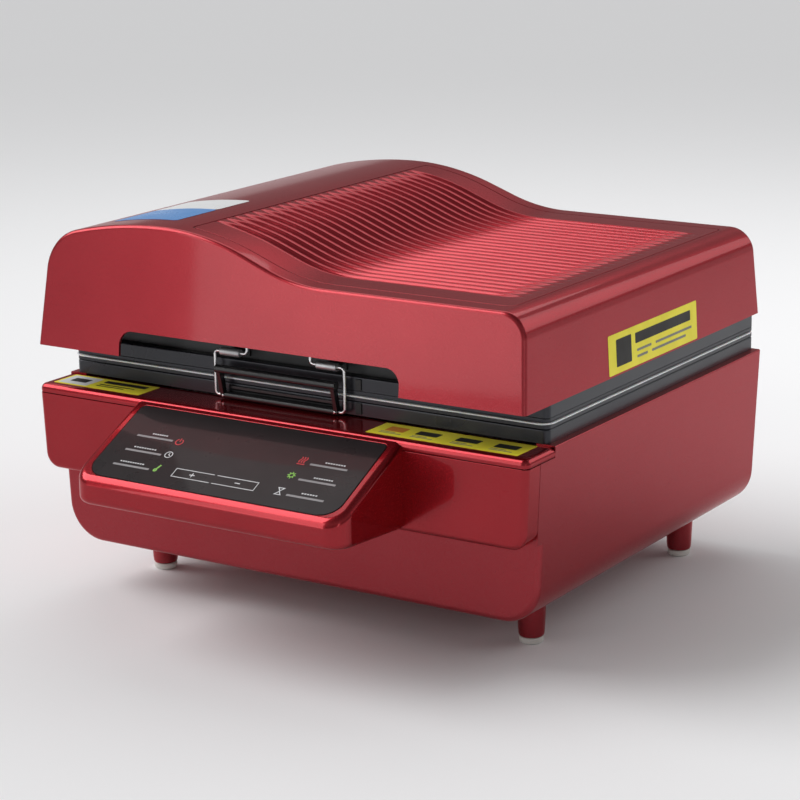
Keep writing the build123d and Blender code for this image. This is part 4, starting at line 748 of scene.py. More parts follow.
# %% Cover grid, then the grooves
COVER_T = 5.75
COVER_EDGE = 0.6
ACROSS_STEPS = 14
OUT_OF_REACH = -9.0


def cover_faces():
    """Closed grid of the cover: top, underside and the edge between them."""
    g = COVER_GAP
    box = (COVER_BOX[0] + g, COVER_BOX[1] - g, COVER_BOX[2] + g, COVER_BOX[3] - g)
    radius = COVER_CORNER - g
    xs = merged(corner_lines(box[0], box[1], radius)
                + steps(box[0] + radius, FULL_X0, 2.5) + steps(FULL_X0, FULL_X1, 6.0)
                + steps(FULL_X1, box[1] - radius, 2.0), 0.3)
    ys = corner_lines(box[2], box[3], radius) + steps(box[2] + radius, box[3] - radius, 400)
    reach = GROOVE_COUNT * GROOVE_PITCH / 2
    ys += steps(LID_MID_Y - reach, LID_MID_Y + reach, GROOVE_PITCH / ACROSS_STEPS)
    ys = merged(ys, 0.3)

    def top(x, y):
        return Vector((x, y, wave_z(x)))

    def under(x, y):
        up = wave_up(x)
        return Vector((x - COVER_T * up.x, y, wave_z(x) - COVER_T * up.y))

    faces = grid_faces(xs, ys, box, radius, False, top)
    low = [f[::-1] for f in grid_faces(xs, ys, box, radius, False, under)]
    edge = [p for p in ((x, y) for x in xs for y in ys) if abs(outside(*p, box, radius)) < 0.01]
    middle = Vector(((box[0] + box[1]) / 2, (box[2] + box[3]) / 2))
    edge.sort(key=lambda p: math.atan2(p[1] - middle.y, p[0] - middle.x))
    skirt = strip([top(*p) for p in edge], [under(*p) for p in edge], closed=True)
    return faces + low + skirt


top_cover = make_piece("ribbed_cover", cover_faces(), RED_MOULDING, "lid", "red_moulding",
                       ["top_cover"])
depths = top_cover.data.attributes.new("cutter depth", "FLOAT", "POINT")
for vertex, value in zip(top_cover.data.vertices, depths.data):
    x, z = vertex.co.x / MM, vertex.co.z / MM
    value.value = cut_depth(x) if abs(z - wave_z(x)) < 0.02 else OUT_OF_REACH


def groove_tree():
    """Push each point down by the round cutter that passes nearest."""
    tree = NodeTree("rib grooves", Pitch=GROOVE_PITCH, Count=float(GROOVE_COUNT),
                    Cutter_Radius=CUTTER_R, Middle=LID_MID_Y, Soft_Crest=SOFT_CREST,
                    Finish=RED_MOULDING)
    place = tree.node("GeometryNodeInputPosition")
    split = tree.node("ShaderNodeSeparateXYZ", Vector=place.outputs[0])
    y = tree.maths("DIVIDE", split.outputs["Y"], MM)
    across = tree.maths("SUBTRACT", y, tree.given("Middle"))
    count = tree.maths("DIVIDE", across, tree.given("Pitch"))
    nearest = tree.maths("ROUND", count)
    last = tree.maths("DIVIDE", tree.maths("SUBTRACT", tree.given("Count"), 1.0), 2.0)
    nearest = tree.maths("MAXIMUM", nearest, tree.maths("MULTIPLY", last, -1.0))
    nearest = tree.maths("MINIMUM", nearest, last)
    off = tree.maths("MULTIPLY", tree.maths("SUBTRACT", count, nearest), tree.given("Pitch"))
    radius = tree.given("Cutter_Radius")
    squares = [tree.maths("MULTIPLY", length, length) for length in (radius, off)]
    inside = tree.maths("SUBTRACT", *squares)
    rise = tree.maths("SUBTRACT", radius, tree.maths("SQRT", tree.maths("MAXIMUM", inside, 0.0)))
    depth = tree.attribute("cutter depth")
    deep = tree.maths("SUBTRACT", depth, rise)
    drop = tree.maths("SMOOTH_MAX", deep, 0.0, tree.given("Soft_Crest"))
    normal = tree.node("GeometryNodeInputNormal")
    push = tree.node("ShaderNodeVectorMath", {"operation": "SCALE"}, Vector=normal.outputs[0],
                     Scale=tree.maths("MULTIPLY", drop, -MM))
    moved = tree.node("GeometryNodeSetPosition", Geometry=tree.given("Geometry"), Offset=push.outputs[0])
    return tree, moved.outputs[0]


tree, grooved = groove_tree()
tree.run(top_cover, grooved)
top_cover.data.attributes.remove(top_cover.data.attributes["cutter depth"])
round_edges(top_cover, COVER_EDGE, 2, 65)
settle(top_cover, 44)


# %% [markdown]
# ## The dark ring in the cover's seam
# The photograph shows the seam round the cover as a dark line, so the seam is 0.45 mm wider here
# than in the CAD solids. A slit that one can see through would let light out of the lid, so a
# black ring of seal rubber lies just below the surface; its black is painted shade, standing in
# for the shadow deep in the seam. It is lofted through four loops that follow the wave, because
# each point's height comes from the same formula as the skin's.

# %% Black ring in the seam, as painted shade
SEAL_TOP, SEAL_LOW = 0.9, 2.7
SEAL_BITE = 0.3
LONG_RUN, RUN_STEPS = 100, 60


def seam_loop(grow, down):
    """The cover's outline, grown and lowered, with points close enough to follow the wave."""
    x0, x1, y0, y1 = COVER_BOX
    x0, x1, y0, y1 = x0 - grow, x1 + grow, y0 - grow, y1 + grow
    corners = rounded([(x0, y0), (x1, y0), (x1, y1), (x0, y1)], [COVER_CORNER + grow] * 4, step=14)
    loop = []
    for here, ahead in zip(corners, corners[1:] + corners[:1]):
        count = RUN_STEPS if abs(ahead.x - here.x) > LONG_RUN else 1
        loop += [here.lerp(ahead, i / count) for i in range(count)]
    return [Vector((p.x, p.y, wave_z(p.x) - down)) for p in loop]


inner, outer = -COVER_GAP - SEAL_BITE, SEAL_BITE
seal_loops = [seam_loop(inner, SEAL_TOP), seam_loop(outer, SEAL_TOP), seam_loop(outer, SEAL_LOW),
              seam_loop(inner, SEAL_LOW), seam_loop(inner, SEAL_TOP)]
# The ring closes the slit; its black is painted shade in the seam.
settle(make_piece("cover_seal", loft(seal_loops, closed=True), SEAL_RUBBER, "lid", "seal_rubber"))


# %% [markdown]
# ## Rounding an edge without a modifier
# Tub, housing and cap have one thing in common: a flat face whose outline turns over a tangent
# radius into the walls. A press or a mould makes that round in one go. Here it is a few loops,
# each a little further in and a little further forward, which gives the same quarter circle.

# %% Loops that turn an outline over
def turned_over(outline, radius, place, count=7):
    """Loops from the wall to the face; outline takes an inset, place a point and its depth."""
    loops = []
    for i in range(count + 1):
        turn = math.pi / 2 * i / count
        inset, depth = radius * (1 - math.cos(turn)), radius * (1 - math.sin(turn))
        loops.append([place(p, depth) for p in outline(inset)])
    return loops


# %% [markdown]
# ## The pressed base
# Floor, sides and the set-back front are one pressed tub with large lower corners. The section is
# an open outline; its sides lean in a little. The sides reach further forward above the front's
# top edge, where the housing closes them, and stop lower under the ledge cap.

# %% Base tub
BASE_LOW, BASE_HIGH = cad_box("base_shell")
BASE_HALF, BASE_TOP_Z, BASE_FLOOR_Z = BASE_HIGH[0], BASE_HIGH[2], BASE_LOW[2]
BASE_TAPER = 8.0
BASE_CORNER = 40.0
FRONT_EDGE = 6.0
SHEET_T = 1.5
SHEET_CUT_EDGE = 0.35
FLANGE_W, FLANGE_EDGE = 20.0, 1.6
BAFFLE_H = 20.0
FRAME_Y = cad_box("lower_frame")[0][1]
HOUSING_LOW, HOUSING_HIGH = cad_box("front_housing")
CAP_LOW, CAP_HIGH = cad_box("ledge_cap")
TUB_FRONT_Y = HOUSING_LOW[1] + 30.0
TUB_SEAM_Z = HOUSING_LOW[2] - 0.25
base_lean = BASE_TAPER / (BASE_TOP_Z - BASE_FLOOR_Z)


def base_half(z):
    """Half width of the base at a height."""
    return BASE_HALF - (BASE_TOP_Z - z) * base_lean


def base_section(inset, low_z, top_z, corner):
    """Open outline of sides and floor between two heights, moved in by an inset."""
    low_z += inset
    top_x, low_x = base_half(top_z) - inset, base_half(low_z) - inset
    return rounded([(-top_x, top_z), (-low_x, low_z), (low_x, low_z), (top_x, top_z)],
                   [0, corner - inset, corner - inset, 0], 5, closed=False)


def tub_faces():
    """Tub below the housing, the taller sides, the flanges and the wall behind the housing."""
    def outline(inset):
        return base_section(inset, BASE_FLOOR_Z, TUB_SEAM_Z, BASE_CORNER)

    rows = [BASE_HIGH[1], FRAME_Y]
    loops = [[Vector((p.x, y, p.y)) for p in outline(0)] for y in rows]
    loops += turned_over(outline, FRONT_EDGE, lambda p, d: Vector((p.x, TUB_FRONT_Y + d, p.y)))
    faces = loft(loops) + [loops[-1]]
    seat_z = HOUSING_HIGH[2]
    ys = [BASE_LOW[1], TUB_FRONT_Y + FRONT_EDGE, FRAME_Y, BASE_HIGH[1]]
    for side in (-1, 1):
        for y0, y1 in zip(ys, ys[1:]):
            levels = [TUB_SEAM_Z, seat_z] + ([BASE_TOP_Z] if y0 >= FRAME_Y else [])
            walls = [[Vector((side * base_half(z), y, z)) for y in (y0, y1)] for z in levels]
            faces += loft(walls)
        inner = side * (BASE_HALF - FLANGE_W)
        outer = side * BASE_HALF
        faces.append([Vector((x, y, BASE_TOP_Z)) for x, y in
                      ((outer, FRAME_Y), (outer, ys[-1]), (inner, ys[-1]), (inner, FRAME_Y))])
    half, low_z = base_half(TUB_SEAM_Z) - 2, TUB_SEAM_Z - 1
    top_z = low_z + BAFFLE_H
    faces.append([Vector((x, TUB_FRONT_Y + 0.3, z)) for x, z in
                  ((-half, low_z), (half, low_z), (half, top_z), (-half, top_z))])
    return faces


tub = make_piece("base_tub", tub_faces(), RED_SHEET, "base", "red_sheet", ["base_shell"])
weigh_edges(tub, lambda p, q: 1.0 if min(p.z, q.z) > BASE_TOP_Z - 0.1 else 0.0)
round_edges(tub, FLANGE_EDGE, 3).limit_method = "WEIGHT"
thicken(tub, SHEET_T)
round_edges(tub, SHEET_CUT_EDGE, 2, 60)
settle(tub)


# %% [markdown]
# ## Front housing and ledge cap
# The upper front is moulded. The housing hangs in front of the tub, with rounded lower corners.
# The cap sits on it with a dark seam, turns round both corners and runs back to the frames, so
# it makes the ledge that the operator's labels are stuck to.

# %% Housing and cap
HOUSING_D, HOUSING_T = 24.0, 3.0
HOUSING_FOOT_R = 16.0
CAP_RIM, CAP_T = 6.0, 2.4


def housing_faces():
    """Front, sides and underside in one skin, open above and behind."""
    def outline(inset):
        return base_section(inset, HOUSING_LOW[2], HOUSING_HIGH[2], HOUSING_FOOT_R)

    loops = [[Vector((p.x, HOUSING_LOW[1] + HOUSING_D, p.y)) for p in outline(0)]]
    loops += turned_over(outline, FRONT_EDGE, lambda p, d: Vector((p.x, HOUSING_LOW[1] + d, p.y)))
    return loft(loops) + [loops[-1]]


def cap_faces():
    """Band round the front and both ends, rounded over into the ledge."""
    def plan(inset, z=CAP_HIGH[2]):
        half = base_half(z) - inset
        corner = FRONT_EDGE + 1 - inset
        back, near = CAP_HIGH[1], CAP_LOW[1] + inset
        return rounded([(-half, back), (-half, near), (half, near), (half, back)],
                       [0, corner, corner, 0], 9, closed=False)

    loops = [[Vector((p.x, p.y, CAP_LOW[2])) for p in plan(0, CAP_LOW[2])]]
    loops += turned_over(plan, CAP_RIM, lambda p, d: Vector((p.x, p.y, CAP_HIGH[2] - d)), 8)
    return loft(loops) + [loops[-1]]


# Housing and cap wear the moulding's copy whose deeper red is painted shade.
for name, faces, wall, node in (
        ("front_housing_skin", housing_faces(), HOUSING_T, "front_housing"),
        ("ledge_cap_skin", cap_faces(), CAP_T, "ledge_cap")):
    skin = make_piece(name, faces, RED_MOULDING_SHADED, "base", "red_moulding", [node])
    thicken(skin, wall)
    round_edges(skin, MOULD_EDGE, 2, 60)
    settle(skin)


# %% [markdown]
# ## The console
# The console is a wedge in front of the housing. Its sloping face carries the touch panel in a
# shallow recess. The wall follows a plan with rounded near corners; the face is two flat pieces
# round the recess, because a face can't have a hole. Every rim gets the same soft radius.

# %% Console housing
CONSOLE_LOW, CONSOLE_HIGH = cad_box("console_housing")
CONSOLE_TILT = math.radians(26.3)
CONSOLE_X = (CONSOLE_LOW[0] + CONSOLE_HIGH[0]) / 2
CONSOLE_TOP_Z = CONSOLE_HIGH[2]
CONSOLE_BACK_Y, CONSOLE_NOSE_Y = CONSOLE_HIGH[1], CONSOLE_LOW[1]
CONSOLE_CORNER = 20.0
CONSOLE_EDGE, RECESS_SHARE = 7.0, 0.1
UNDERSIDE_BACK_Z, UNDERSIDE_NOSE_Z = CONSOLE_LOW[2], CONSOLE_LOW[2] + 6.0
TOUCH_W, TOUCH_L, TOUCH_START = 284.0, 102.0, 5.0
TOUCH_NEAR_R, TOUCH_FAR_R = 19.0, 6.0
TOUCH_T, TOUCH_PROUD, TOUCH_GAP = 1.8, 0.4, 0.25
FACE_FOOT_Z = 160


def on_slope(x, down, lift=0.0):
    """Point on the console's face: x from its middle, distance down the slope, and lift off it."""
    y = CONSOLE_BACK_Y - down * math.cos(CONSOLE_TILT) - lift * math.sin(CONSOLE_TILT)
    z = CONSOLE_TOP_Z - down * math.sin(CONSOLE_TILT) + lift * math.cos(CONSOLE_TILT)
    return Vector((CONSOLE_X + x, y, z))


def touch_corners(grow):
    """The touch panel's four corners and radii in slope coordinates."""
    half = TOUCH_W / 2 + grow
    top, low = TOUCH_START - grow, TOUCH_START + TOUCH_L + grow
    corners = [(-half, top), (-half, low), (half, low), (half, top)]
    return corners, [TOUCH_FAR_R, TOUCH_NEAR_R, TOUCH_NEAR_R, TOUCH_FAR_R]


def console_faces():
    """Wall, underside, face round the recess, and the recess."""
    half = (CONSOLE_HIGH[0] - CONSOLE_LOW[0]) / 2
    plan = rounded([(-half, CONSOLE_BACK_Y), (-half, CONSOLE_NOSE_Y), (half, CONSOLE_NOSE_Y),
                    (half, CONSOLE_BACK_Y)], [0, CONSOLE_CORNER, CONSOLE_CORNER, 0], 6, closed=False)
    rise = (UNDERSIDE_NOSE_Z - UNDERSIDE_BACK_Z) / (CONSOLE_BACK_Y - CONSOLE_NOSE_Y)
    top = [on_slope(p.x, (CONSOLE_BACK_Y - p.y) / math.cos(CONSOLE_TILT)) for p in plan]
    low = [Vector((CONSOLE_X + p.x, p.y, UNDERSIDE_BACK_Z + (CONSOLE_BACK_Y - p.y) * rise))
           for p in plan]
    rim = rounded(*touch_corners(TOUCH_GAP), step=9)
    far = len(rim) // 4
    inner = [on_slope(p.x, p.y) for p in rim]
    floor = [on_slope(p.x, p.y, TOUCH_PROUD - TOUCH_T) for p in rim]
    near_side = top + inner[far - 1:3 * far + 1][::-1]
    far_side = [top[0]] + inner[:far][::-1] + inner[3 * far:][::-1] + [top[-1]]
    return strip(low, top) + [low[::-1], near_side, far_side, floor] + strip(inner, floor, closed=True)


def recess_or_rim(*ends):
    """Soft rim everywhere, but a crisp edge round the touch panel's recess."""
    for p in ends:
        down = (CONSOLE_BACK_Y - p.y) / math.cos(CONSOLE_TILT)
        near = (abs(p.x - CONSOLE_X) < TOUCH_W / 2 + 1
                and TOUCH_START - 1 < down < TOUCH_START + TOUCH_L + 1)
        if not near or p.z < FACE_FOOT_Z:
            return 1.0
    return RECESS_SHARE


# The console wears the same copy of the moulding, whose deeper red is painted shade.
console = make_piece("console_moulding", console_faces(), RED_MOULDING_SHADED, "base", "red_moulding",
                     ["console_housing"])
weigh_edges(console, recess_or_rim)
rims = round_edges(console, CONSOLE_EDGE, 7)
rims.limit_method = "WEIGHT"
settle(console)


# %% [markdown]
# ## Labels and sticker
# The lid's side and both ends of the ledge carry thin film labels with plain blocks on them. A
# two-tone sticker lies on the hump. Film this thin still shows its edge, so each is a real layer:
# rounded cells laid on the surface by a small function, then given a thickness towards it.

# %% Film cut to rounded boxes
FILM_T = 0.20
INK_T = 0.08


def film_cells(box, radius, place, most=400.0):
    """Cells of one rounded box (u0, u1, v0, v1), put on the surface by place(u, v)."""
    us = corner_lines(box[0], box[1], radius) + steps(box[0] + radius, box[1] - radius, most)
    vs = corner_lines(box[2], box[3], radius) + steps(box[2] + radius, box[3] - radius, most)
    return grid_faces(merged(us, 0.02), merged(vs, 0.02), box, radius, False, place)


def film(name, boxes, radius, place, material, body, thickness=FILM_T, most=400.0):
    """Film or ink piece from several boxes on one surface."""
    faces = []
    for box in boxes:
        faces += film_cells(box, radius, place, most)
    piece = make_piece(name, faces, material, body, None, outward=False)
    thicken(piece, thickness)
    return settle(piece)


def on_lid_side(lift):
    """The lid's right wall: y and z, and how far the film stands off it."""
    lean = math.radians(LEAN_RIGHT)
    foot_x = LID_HALF + lift / math.cos(lean)
    return lambda y, z: Vector((foot_x - (z - LID_FOOT_Z) * math.tan(lean), y, z))


def on_ledge(lift):
    """The ledge: x and y at its height."""
    return lambda x, y: Vector((x, y, CAP_HIGH[2] + lift))


def on_hump(lift):
    """The hump's crest, where the sticker follows the curve."""
    return lambda x, y: Vector((x + lift * wave_up(x).x, y, wave_z(x) + lift * wave_up(x).y))


FILM_LIFT = FILM_T + 0.05
INK_LIFT = FILM_LIFT + INK_T + 0.02


def ink(name, boxes, radius, surface, material, body, lift=INK_LIFT):
    """Blocks or lines printed on a film that lies on the same surface."""
    return film(name, boxes, radius, surface(lift), material, body, INK_T)


# %% Three yellow labels and the sticker
TEXT_XS = (114, 148, 191, 232)
BLOCK_W, TEXT_W = 24, 16

film("lid_label", [(-39, 143, 257.4, 295.6)], 1.5, on_lid_side(FILM_LIFT), LABEL_YELLOW, "lid")
ink("lid_label_blocks", [(-24, 6, 263.5, 289.5), (14, 129, 278.6, 288.6)],
    1.2, on_lid_side, LABEL_BLACK, "lid")
ink("lid_label_lines",
    [(17, 46, 270.5, 272.9), (55, 131, 270.5, 272.9), (17, 38, 264.4, 266.8), (47, 118, 264.4, 266.8)],
    0.6, on_lid_side, LABEL_GREY, "lid")

film("ledge_label_right", [(104, 266, -185, -148)], 1.5, on_ledge(FILM_LIFT), LABEL_YELLOW, "base")
ink("ledge_label_blocks", [(x, x + BLOCK_W, -170, -158) for x in TEXT_XS[1:]],
    1.2, on_ledge, LABEL_BLACK, "base")
ink("ledge_label_orange", [(116, 136, -171, -157)], 1.2, on_ledge, LABEL_ORANGE, "base")
ink("ledge_label_lines", [(x, x + BLOCK_W, -178.4, -177) for x in TEXT_XS]
    + [(x, x + TEXT_W, -174.8, -173.4) for x in TEXT_XS], 0.5, on_ledge, LABEL_GREY, "base")

film("ledge_label_left", [(-271, -163, -184, -149)], 1.5, on_ledge(FILM_LIFT), LABEL_YELLOW, "base")
ink("ledge_label_pale", [(-268, -232, -181, -152)], 1.5, on_ledge, LABEL_WHITE, "base")
ink("ledge_label_bars",
    [(-224, -172, -163, -155), (-224, -180, -170, -168), (-224, -190, -175, -173),
     (-260, -240, -172, -160)], 0.8, on_ledge, LABEL_BLACK, "base", INK_LIFT + 0.1)

for name, near_y, far_y, lift, colour in (("sticker_blue", -146, -80, FILM_LIFT, LABEL_BLUE),
                                          ("sticker_white", -80.2, -24, FILM_LIFT + 0.06, LABEL_WHITE)):
    film(name, [(-217, -138, near_y, far_y)], 4.0, on_hump(lift), colour, "lid", most=5.0)


# %% [markdown]
# ## The touch panel's print
# The panel is a glossy film with generic marks: bars, a ring with a stroke for power, a clock, a
# thermometer, heat waves, a gear and an hourglass. All are drawn with a pen of constant width in
# the film's own flat coordinates, x to the right and s down the slope, then raised as ink.

# %% A pen for flat marks
DASH_W, DASH_H, DASH_PITCH = 1.9, 1.5, 3.1
MARK_LIFT, MARK_T = 0.14, 0.1
BAR_PEN, KEY_PEN, FINE_PEN, SIGN_PEN, ICON_PEN = 2.4, 0.8, 0.9, 1.1, 1.2


def stroke(points, width, closed=False):
    """Quads along a flat line as wide as the pen, mitred at its corners."""
    points = [Vector(p) for p in points]
    count = len(points)
    sides = []
    for i, here in enumerate(points):
        ways = []
        if closed or i:
            ways.append((here - points[i - 1]).normalized())
        if closed or i < count - 1:
            ways.append((points[(i + 1) % count] - here).normalized())
        normals = [Vector((-way.y, way.x)) for way in ways]
        across = sum(normals, Vector((0, 0))).normalized()
        reach = width / 2 / max(0.3, across.dot(normals[0]))
        sides.append((here + across * reach, here - across * reach))
    last = count if closed else count - 1
    return [[sides[i][1], sides[(i + 1) % count][1], sides[(i + 1) % count][0], sides[i][0]]
            for i in range(last)]


def circle(x, s, radius, start=0, stop=360, step=20):
    """Points round a centre; a full circle doesn't repeat its first point."""
    points = arc_points((x, s), radius, start, stop, step)
    return points[:-1] if abs(stop - start) == 360 else points


def dashes(x0, x1, s):
    """A short row of plain dashes."""
    far, near = s - DASH_H / 2, s + DASH_H / 2
    return [[(x, far), (x + DASH_W, far), (x + DASH_W, near), (x, near)]
            for x in steps(x0, x1 - 2.0, DASH_PITCH)]


def print_on_panel(name, marks, material):
    """Raise flat marks on the panel's film."""
    faces = [[on_slope(p[0] - CONSOLE_X, p[1], TOUCH_PROUD + MARK_LIFT) for p in reversed(mark)]
             for mark in marks]
    piece = make_piece(name, faces, material, "base", "black_glass", outward=False)
    thicken(piece, MARK_T)
    return settle(piece)


# %% Bars, dashes and the plus and minus keys
LEFT_ROWS, RIGHT_ROWS = (46.8, 67.5, 88.7), (46.8, 68.0, 89.7)
LEFT_BAR, RIGHT_BAR = (-123.0, -80.5), (77.8, 118.5)
KEY_BOX = (-52.0, 42.0, 81.0, 92.0)
KEY_SPLIT = -6.7
bars = []
for row_set, (x0, x1) in ((LEFT_ROWS, LEFT_BAR), (RIGHT_ROWS, RIGHT_BAR)):
    for s in row_set:
        bars += stroke([(x0, s), (x1, s)], BAR_PEN)
print_on_panel("panel_bars", bars, MARK_GREY)

words = []
for (s, left), (t, right) in zip(zip(LEFT_ROWS, (18, 26, 28)), zip(RIGHT_ROWS, (22, 21, 17))):
    words += dashes(LEFT_BAR[1] - 9 - left, LEFT_BAR[1] - 9, s - 5)
    words += dashes(RIGHT_BAR[0] + 14, RIGHT_BAR[0] + 14 + right, t - 5)
keys = []
for x0, x1 in ((KEY_BOX[0], KEY_SPLIT - 1.6), (KEY_BOX[1], KEY_SPLIT + 1.6)):
    keys += stroke([(x1, KEY_BOX[2]), (x0, KEY_BOX[2]), (x0, KEY_BOX[3]), (x1, KEY_BOX[3])], KEY_PEN)
signs = []
for line in ([(-34, 86.5), (-28, 86.5)], [(-31, 83.8), (-31, 85.9)], [(-31, 87.1), (-31, 89.2)],
             [(18, 86.5), (24, 86.5)]):
    signs += stroke(line, SIGN_PEN)
clock = (stroke(circle(-72.5, 65.5, 4.0), FINE_PEN, True)
         + stroke([(-72.5, 62.8), (-72.5, 65.6), (-70.4, 66.8)], KEY_PEN))
hourglass = (stroke([(65.3, 82.3), (71.7, 82.3), (68.5, 86.4)], FINE_PEN, True)
             + stroke([(65.3, 91.1), (71.7, 91.1), (68.5, 87.0)], FINE_PEN, True))
print_on_panel("panel_white_marks", words + keys + signs + clock + hourglass, MARK_WHITE)


# %% Coloured icons
def gear(x, s, radius, teeth):
    """Ring with short teeth."""
    marks = stroke(circle(x, s, radius), SIGN_PEN, True)
    for foot, end in zip(ring(radius + 0.4, teeth), ring(radius + 2.0, teeth)):
        marks += stroke([(x + foot[0], s + foot[1]), (x + end[0], s + end[1])], SIGN_PEN)
    return marks


def heat_waves(x, s, count, height):
    """Upright wavy lines."""
    marks = []
    for across in spread(count, 2.7):
        line = [(x + across + 0.9 * math.sin(2 * math.pi * i / 8), s + height * (i / 8 - 0.5))
                for i in range(9)]
        marks += stroke(line, ICON_PEN)
    return marks


power = (stroke(circle(-72.5, 46.8, 3.9, -60, 240), ICON_PEN)
         + stroke([(-72.5, 41.8), (-72.5, 46.2)], ICON_PEN))
print_on_panel("panel_red_marks", power + heat_waves(68, 43, 3, 8)
               + stroke([(63.8, 48.6), (72.2, 48.6)], ICON_PEN), MARK_RED)
bulb = stroke([(-71.0, 80.5), (-73.2, 86.8)], 1.8) + stroke(circle(-73.6, 88.0, 1.4), 1.6, True)
print_on_panel("panel_green_marks", bulb + gear(68, 64.5, 2.4, 8), MARK_GREEN)


# %% [markdown]
# ## Turned pieces: feet, tips and barrels
# Feet, tips and latch barrels come off a lathe. A turned piece is a profile of radius and height
# carried round an axis, closed by a flat disc at each end. The place function decides which way
# the axis points, so the same few lines turn an upright foot and a level barrel.

# %% A lathe
def turned(profile, place, count=40):
    """Faces of a profile of (radius, height) turned round an axis."""
    loops = []
    for radius, height in profile:
        loops.append([place(x, y, height) for x, y in ring(radius, count)])
    return loft(loops, closed=True) + [loops[0][::-1], loops[-1]]


def upright(x, y):
    """Axis straight up through a point of the plan."""
    return lambda a, b, h: Vector((x + a, y + b, h))


def level(y, z, start, way):
    """Axis along x from a start, to the right (1) or left (-1)."""
    return lambda a, b, h: Vector((start + way * h, y + a, z + b))


# %% Feet and their soft tips
ROUND_SHARP = 50
FOOT_LOW, FOOT_HIGH = cad_box("feet")
FOOT_R = 14.5
TIP_H = cad_box("foot_tips")[1][2]
foot_places = [(side * (FOOT_HIGH[0] - FOOT_R), y)
               for side in (-1, 1) for y in (FOOT_LOW[1] + FOOT_R, FOOT_HIGH[1] - FOOT_R)]
cone = [(FOOT_R, FOOT_HIGH[2]), (FOOT_R, FOOT_HIGH[2] - 1.5), (14.1, 40.0), (12.9, 14.0), (12.6, 10.5),
        (12.3, 8.4), (11.6, 7.3), (10.6, TIP_H)]
tip = [(10.9, TIP_H), (11.6, TIP_H - 0.5), (11.8, TIP_H - 1.3), (11.8, 3.2), (11.5, 1.8), (10.8, 0.8),
       (9.8, 0.2), (8.8, 0.0)]
for name, profile, material, slot, node in (
        ("turned_feet", cone, RED_SHEET, "red_sheet", "feet"),
        ("soft_foot_tips", tip, PALE_RUBBER, "pale_rubber", "foot_tips")):
    faces = [face for place in foot_places for face in turned(profile, upright(*place))]
    settle(make_piece(name, faces, material, "base", slot, [node]), ROUND_SHARP)


# %% [markdown]
# ## The wire latch
# Two bent wires hang in short satin barrels under the lid's window. Each ends in the lever's
# pivot tube, so pulling the lever up draws the lid down over centre. The wires are sweeps: a
# circle carried along a flat path with rounded bends.

# %% Bent wires and their barrels
WIRE_LOW, WIRE_HIGH = cad_box("latch_wires")
BARREL_LOW, BARREL_HIGH = cad_box("latch_barrels")
WIRE_R, WIRE_BEND, WIRE_HOOK = 1.5, 4.0, 22.0
WIRE_Y = (WIRE_LOW[1] + WIRE_HIGH[1]) / 2
LATCH_X = (WIRE_LOW[0] + WIRE_HIGH[0]) / 2
WIRE_SPREAD = (WIRE_HIGH[0] - WIRE_LOW[0]) / 2 - WIRE_R
BARREL_Z = 263.0
BARREL_IN, BARREL_OUT = 45.0, (BARREL_HIGH[0] - BARREL_LOW[0]) / 2
BARREL_R = 4.2
INNER_LEG = 37.0
PIVOT_Z = WIRE_LOW[2] + WIRE_R


def swept(path, radius, place, count=14):
    """Tube along a flat path; place takes the path's two coordinates and the third beside it."""
    path = [Vector(p) for p in path]
    loops = []
    for i, here in enumerate(path):
        along = (path[min(i + 1, len(path) - 1)] - path[max(i - 1, 0)]).normalized()
        across = Vector((-along.y, along.x))
        loops.append([place(*(here + across * out), beside) for out, beside in ring(radius, count)])
    return loft(loops, closed=True) + [loops[0][::-1], loops[-1]]


barrel_length = BARREL_OUT - BARREL_IN
barrel_profile = [(2.0, 0.4), (3.6, 0.0), (BARREL_R, 0.6), (BARREL_R, barrel_length - 0.6),
                  (3.6, barrel_length), (2.0, barrel_length - 0.4)]
bends = [(WIRE_SPREAD - WIRE_HOOK, PIVOT_Z), (WIRE_SPREAD, PIVOT_Z), (WIRE_SPREAD, BARREL_Z),
         (INNER_LEG, BARREL_Z), (INNER_LEG, WIRE_HIGH[2])]
wire_path = rounded(bends, [0, WIRE_BEND, WIRE_BEND, WIRE_BEND, 0], 10, closed=False)
wire_faces, barrel_faces = [], []
for side in (-1, 1):
    wire_faces += swept(wire_path, WIRE_R,
                        lambda u, v, w, s=side: Vector((LATCH_X + s * u, WIRE_Y + w, v)))
    barrel_faces += turned(barrel_profile,
                           level(WIRE_Y, BARREL_Z, LATCH_X + side * BARREL_IN, side), 32)
settle(make_piece("bent_latch_wires", wire_faces, WIRE_STEEL, "latch_wires", "bright_steel",
                  ["latch_wires"]))
settle(make_piece("satin_barrels", barrel_faces, SATIN_BARREL, "lid", "bright_steel",
                  ["latch_barrels"]), ROUND_SHARP)


# %% Barrel straps and the two small frame tabs
def slab(low, high):
    """Six faces of a box between two corners."""
    (x0, y0, z0), (x1, y1, z1) = low, high
    p = [Vector((x, y, z)) for x in (x0, x1) for y in (y0, y1) for z in (z0, z1)]
    return [[p[i] for i in face] for face in
            ((0, 1, 3, 2), (4, 6, 7, 5), (0, 4, 5, 1), (2, 3, 7, 6), (0, 2, 6, 4), (1, 5, 7, 3))]


STRAP_T, PAD_H, PAD_T = 2.5, 12.0, 2.0
strap_faces = []
for side in (-1, 1):
    x0, x1 = sorted((LATCH_X + side * BARREL_IN, LATCH_X + side * BARREL_OUT))
    strap_faces += slab((x0 + 4, WIRE_Y + BARREL_R - 0.6, BARREL_Z - STRAP_T / 2),
                        (x1 - 4, BARREL_HIGH[1] - 1.6, BARREL_Z + STRAP_T / 2))
    strap_faces += slab((x0, BARREL_HIGH[1] - PAD_T, BARREL_Z - PAD_H / 2),
                        (x1, BARREL_HIGH[1], BARREL_Z + PAD_H / 2))
straps = make_piece("barrel_straps", strap_faces, BLACK_BOX, "lid", "black_box", ["latch_barrels"])
round_edges(straps, 0.4, 2)
settle(straps)

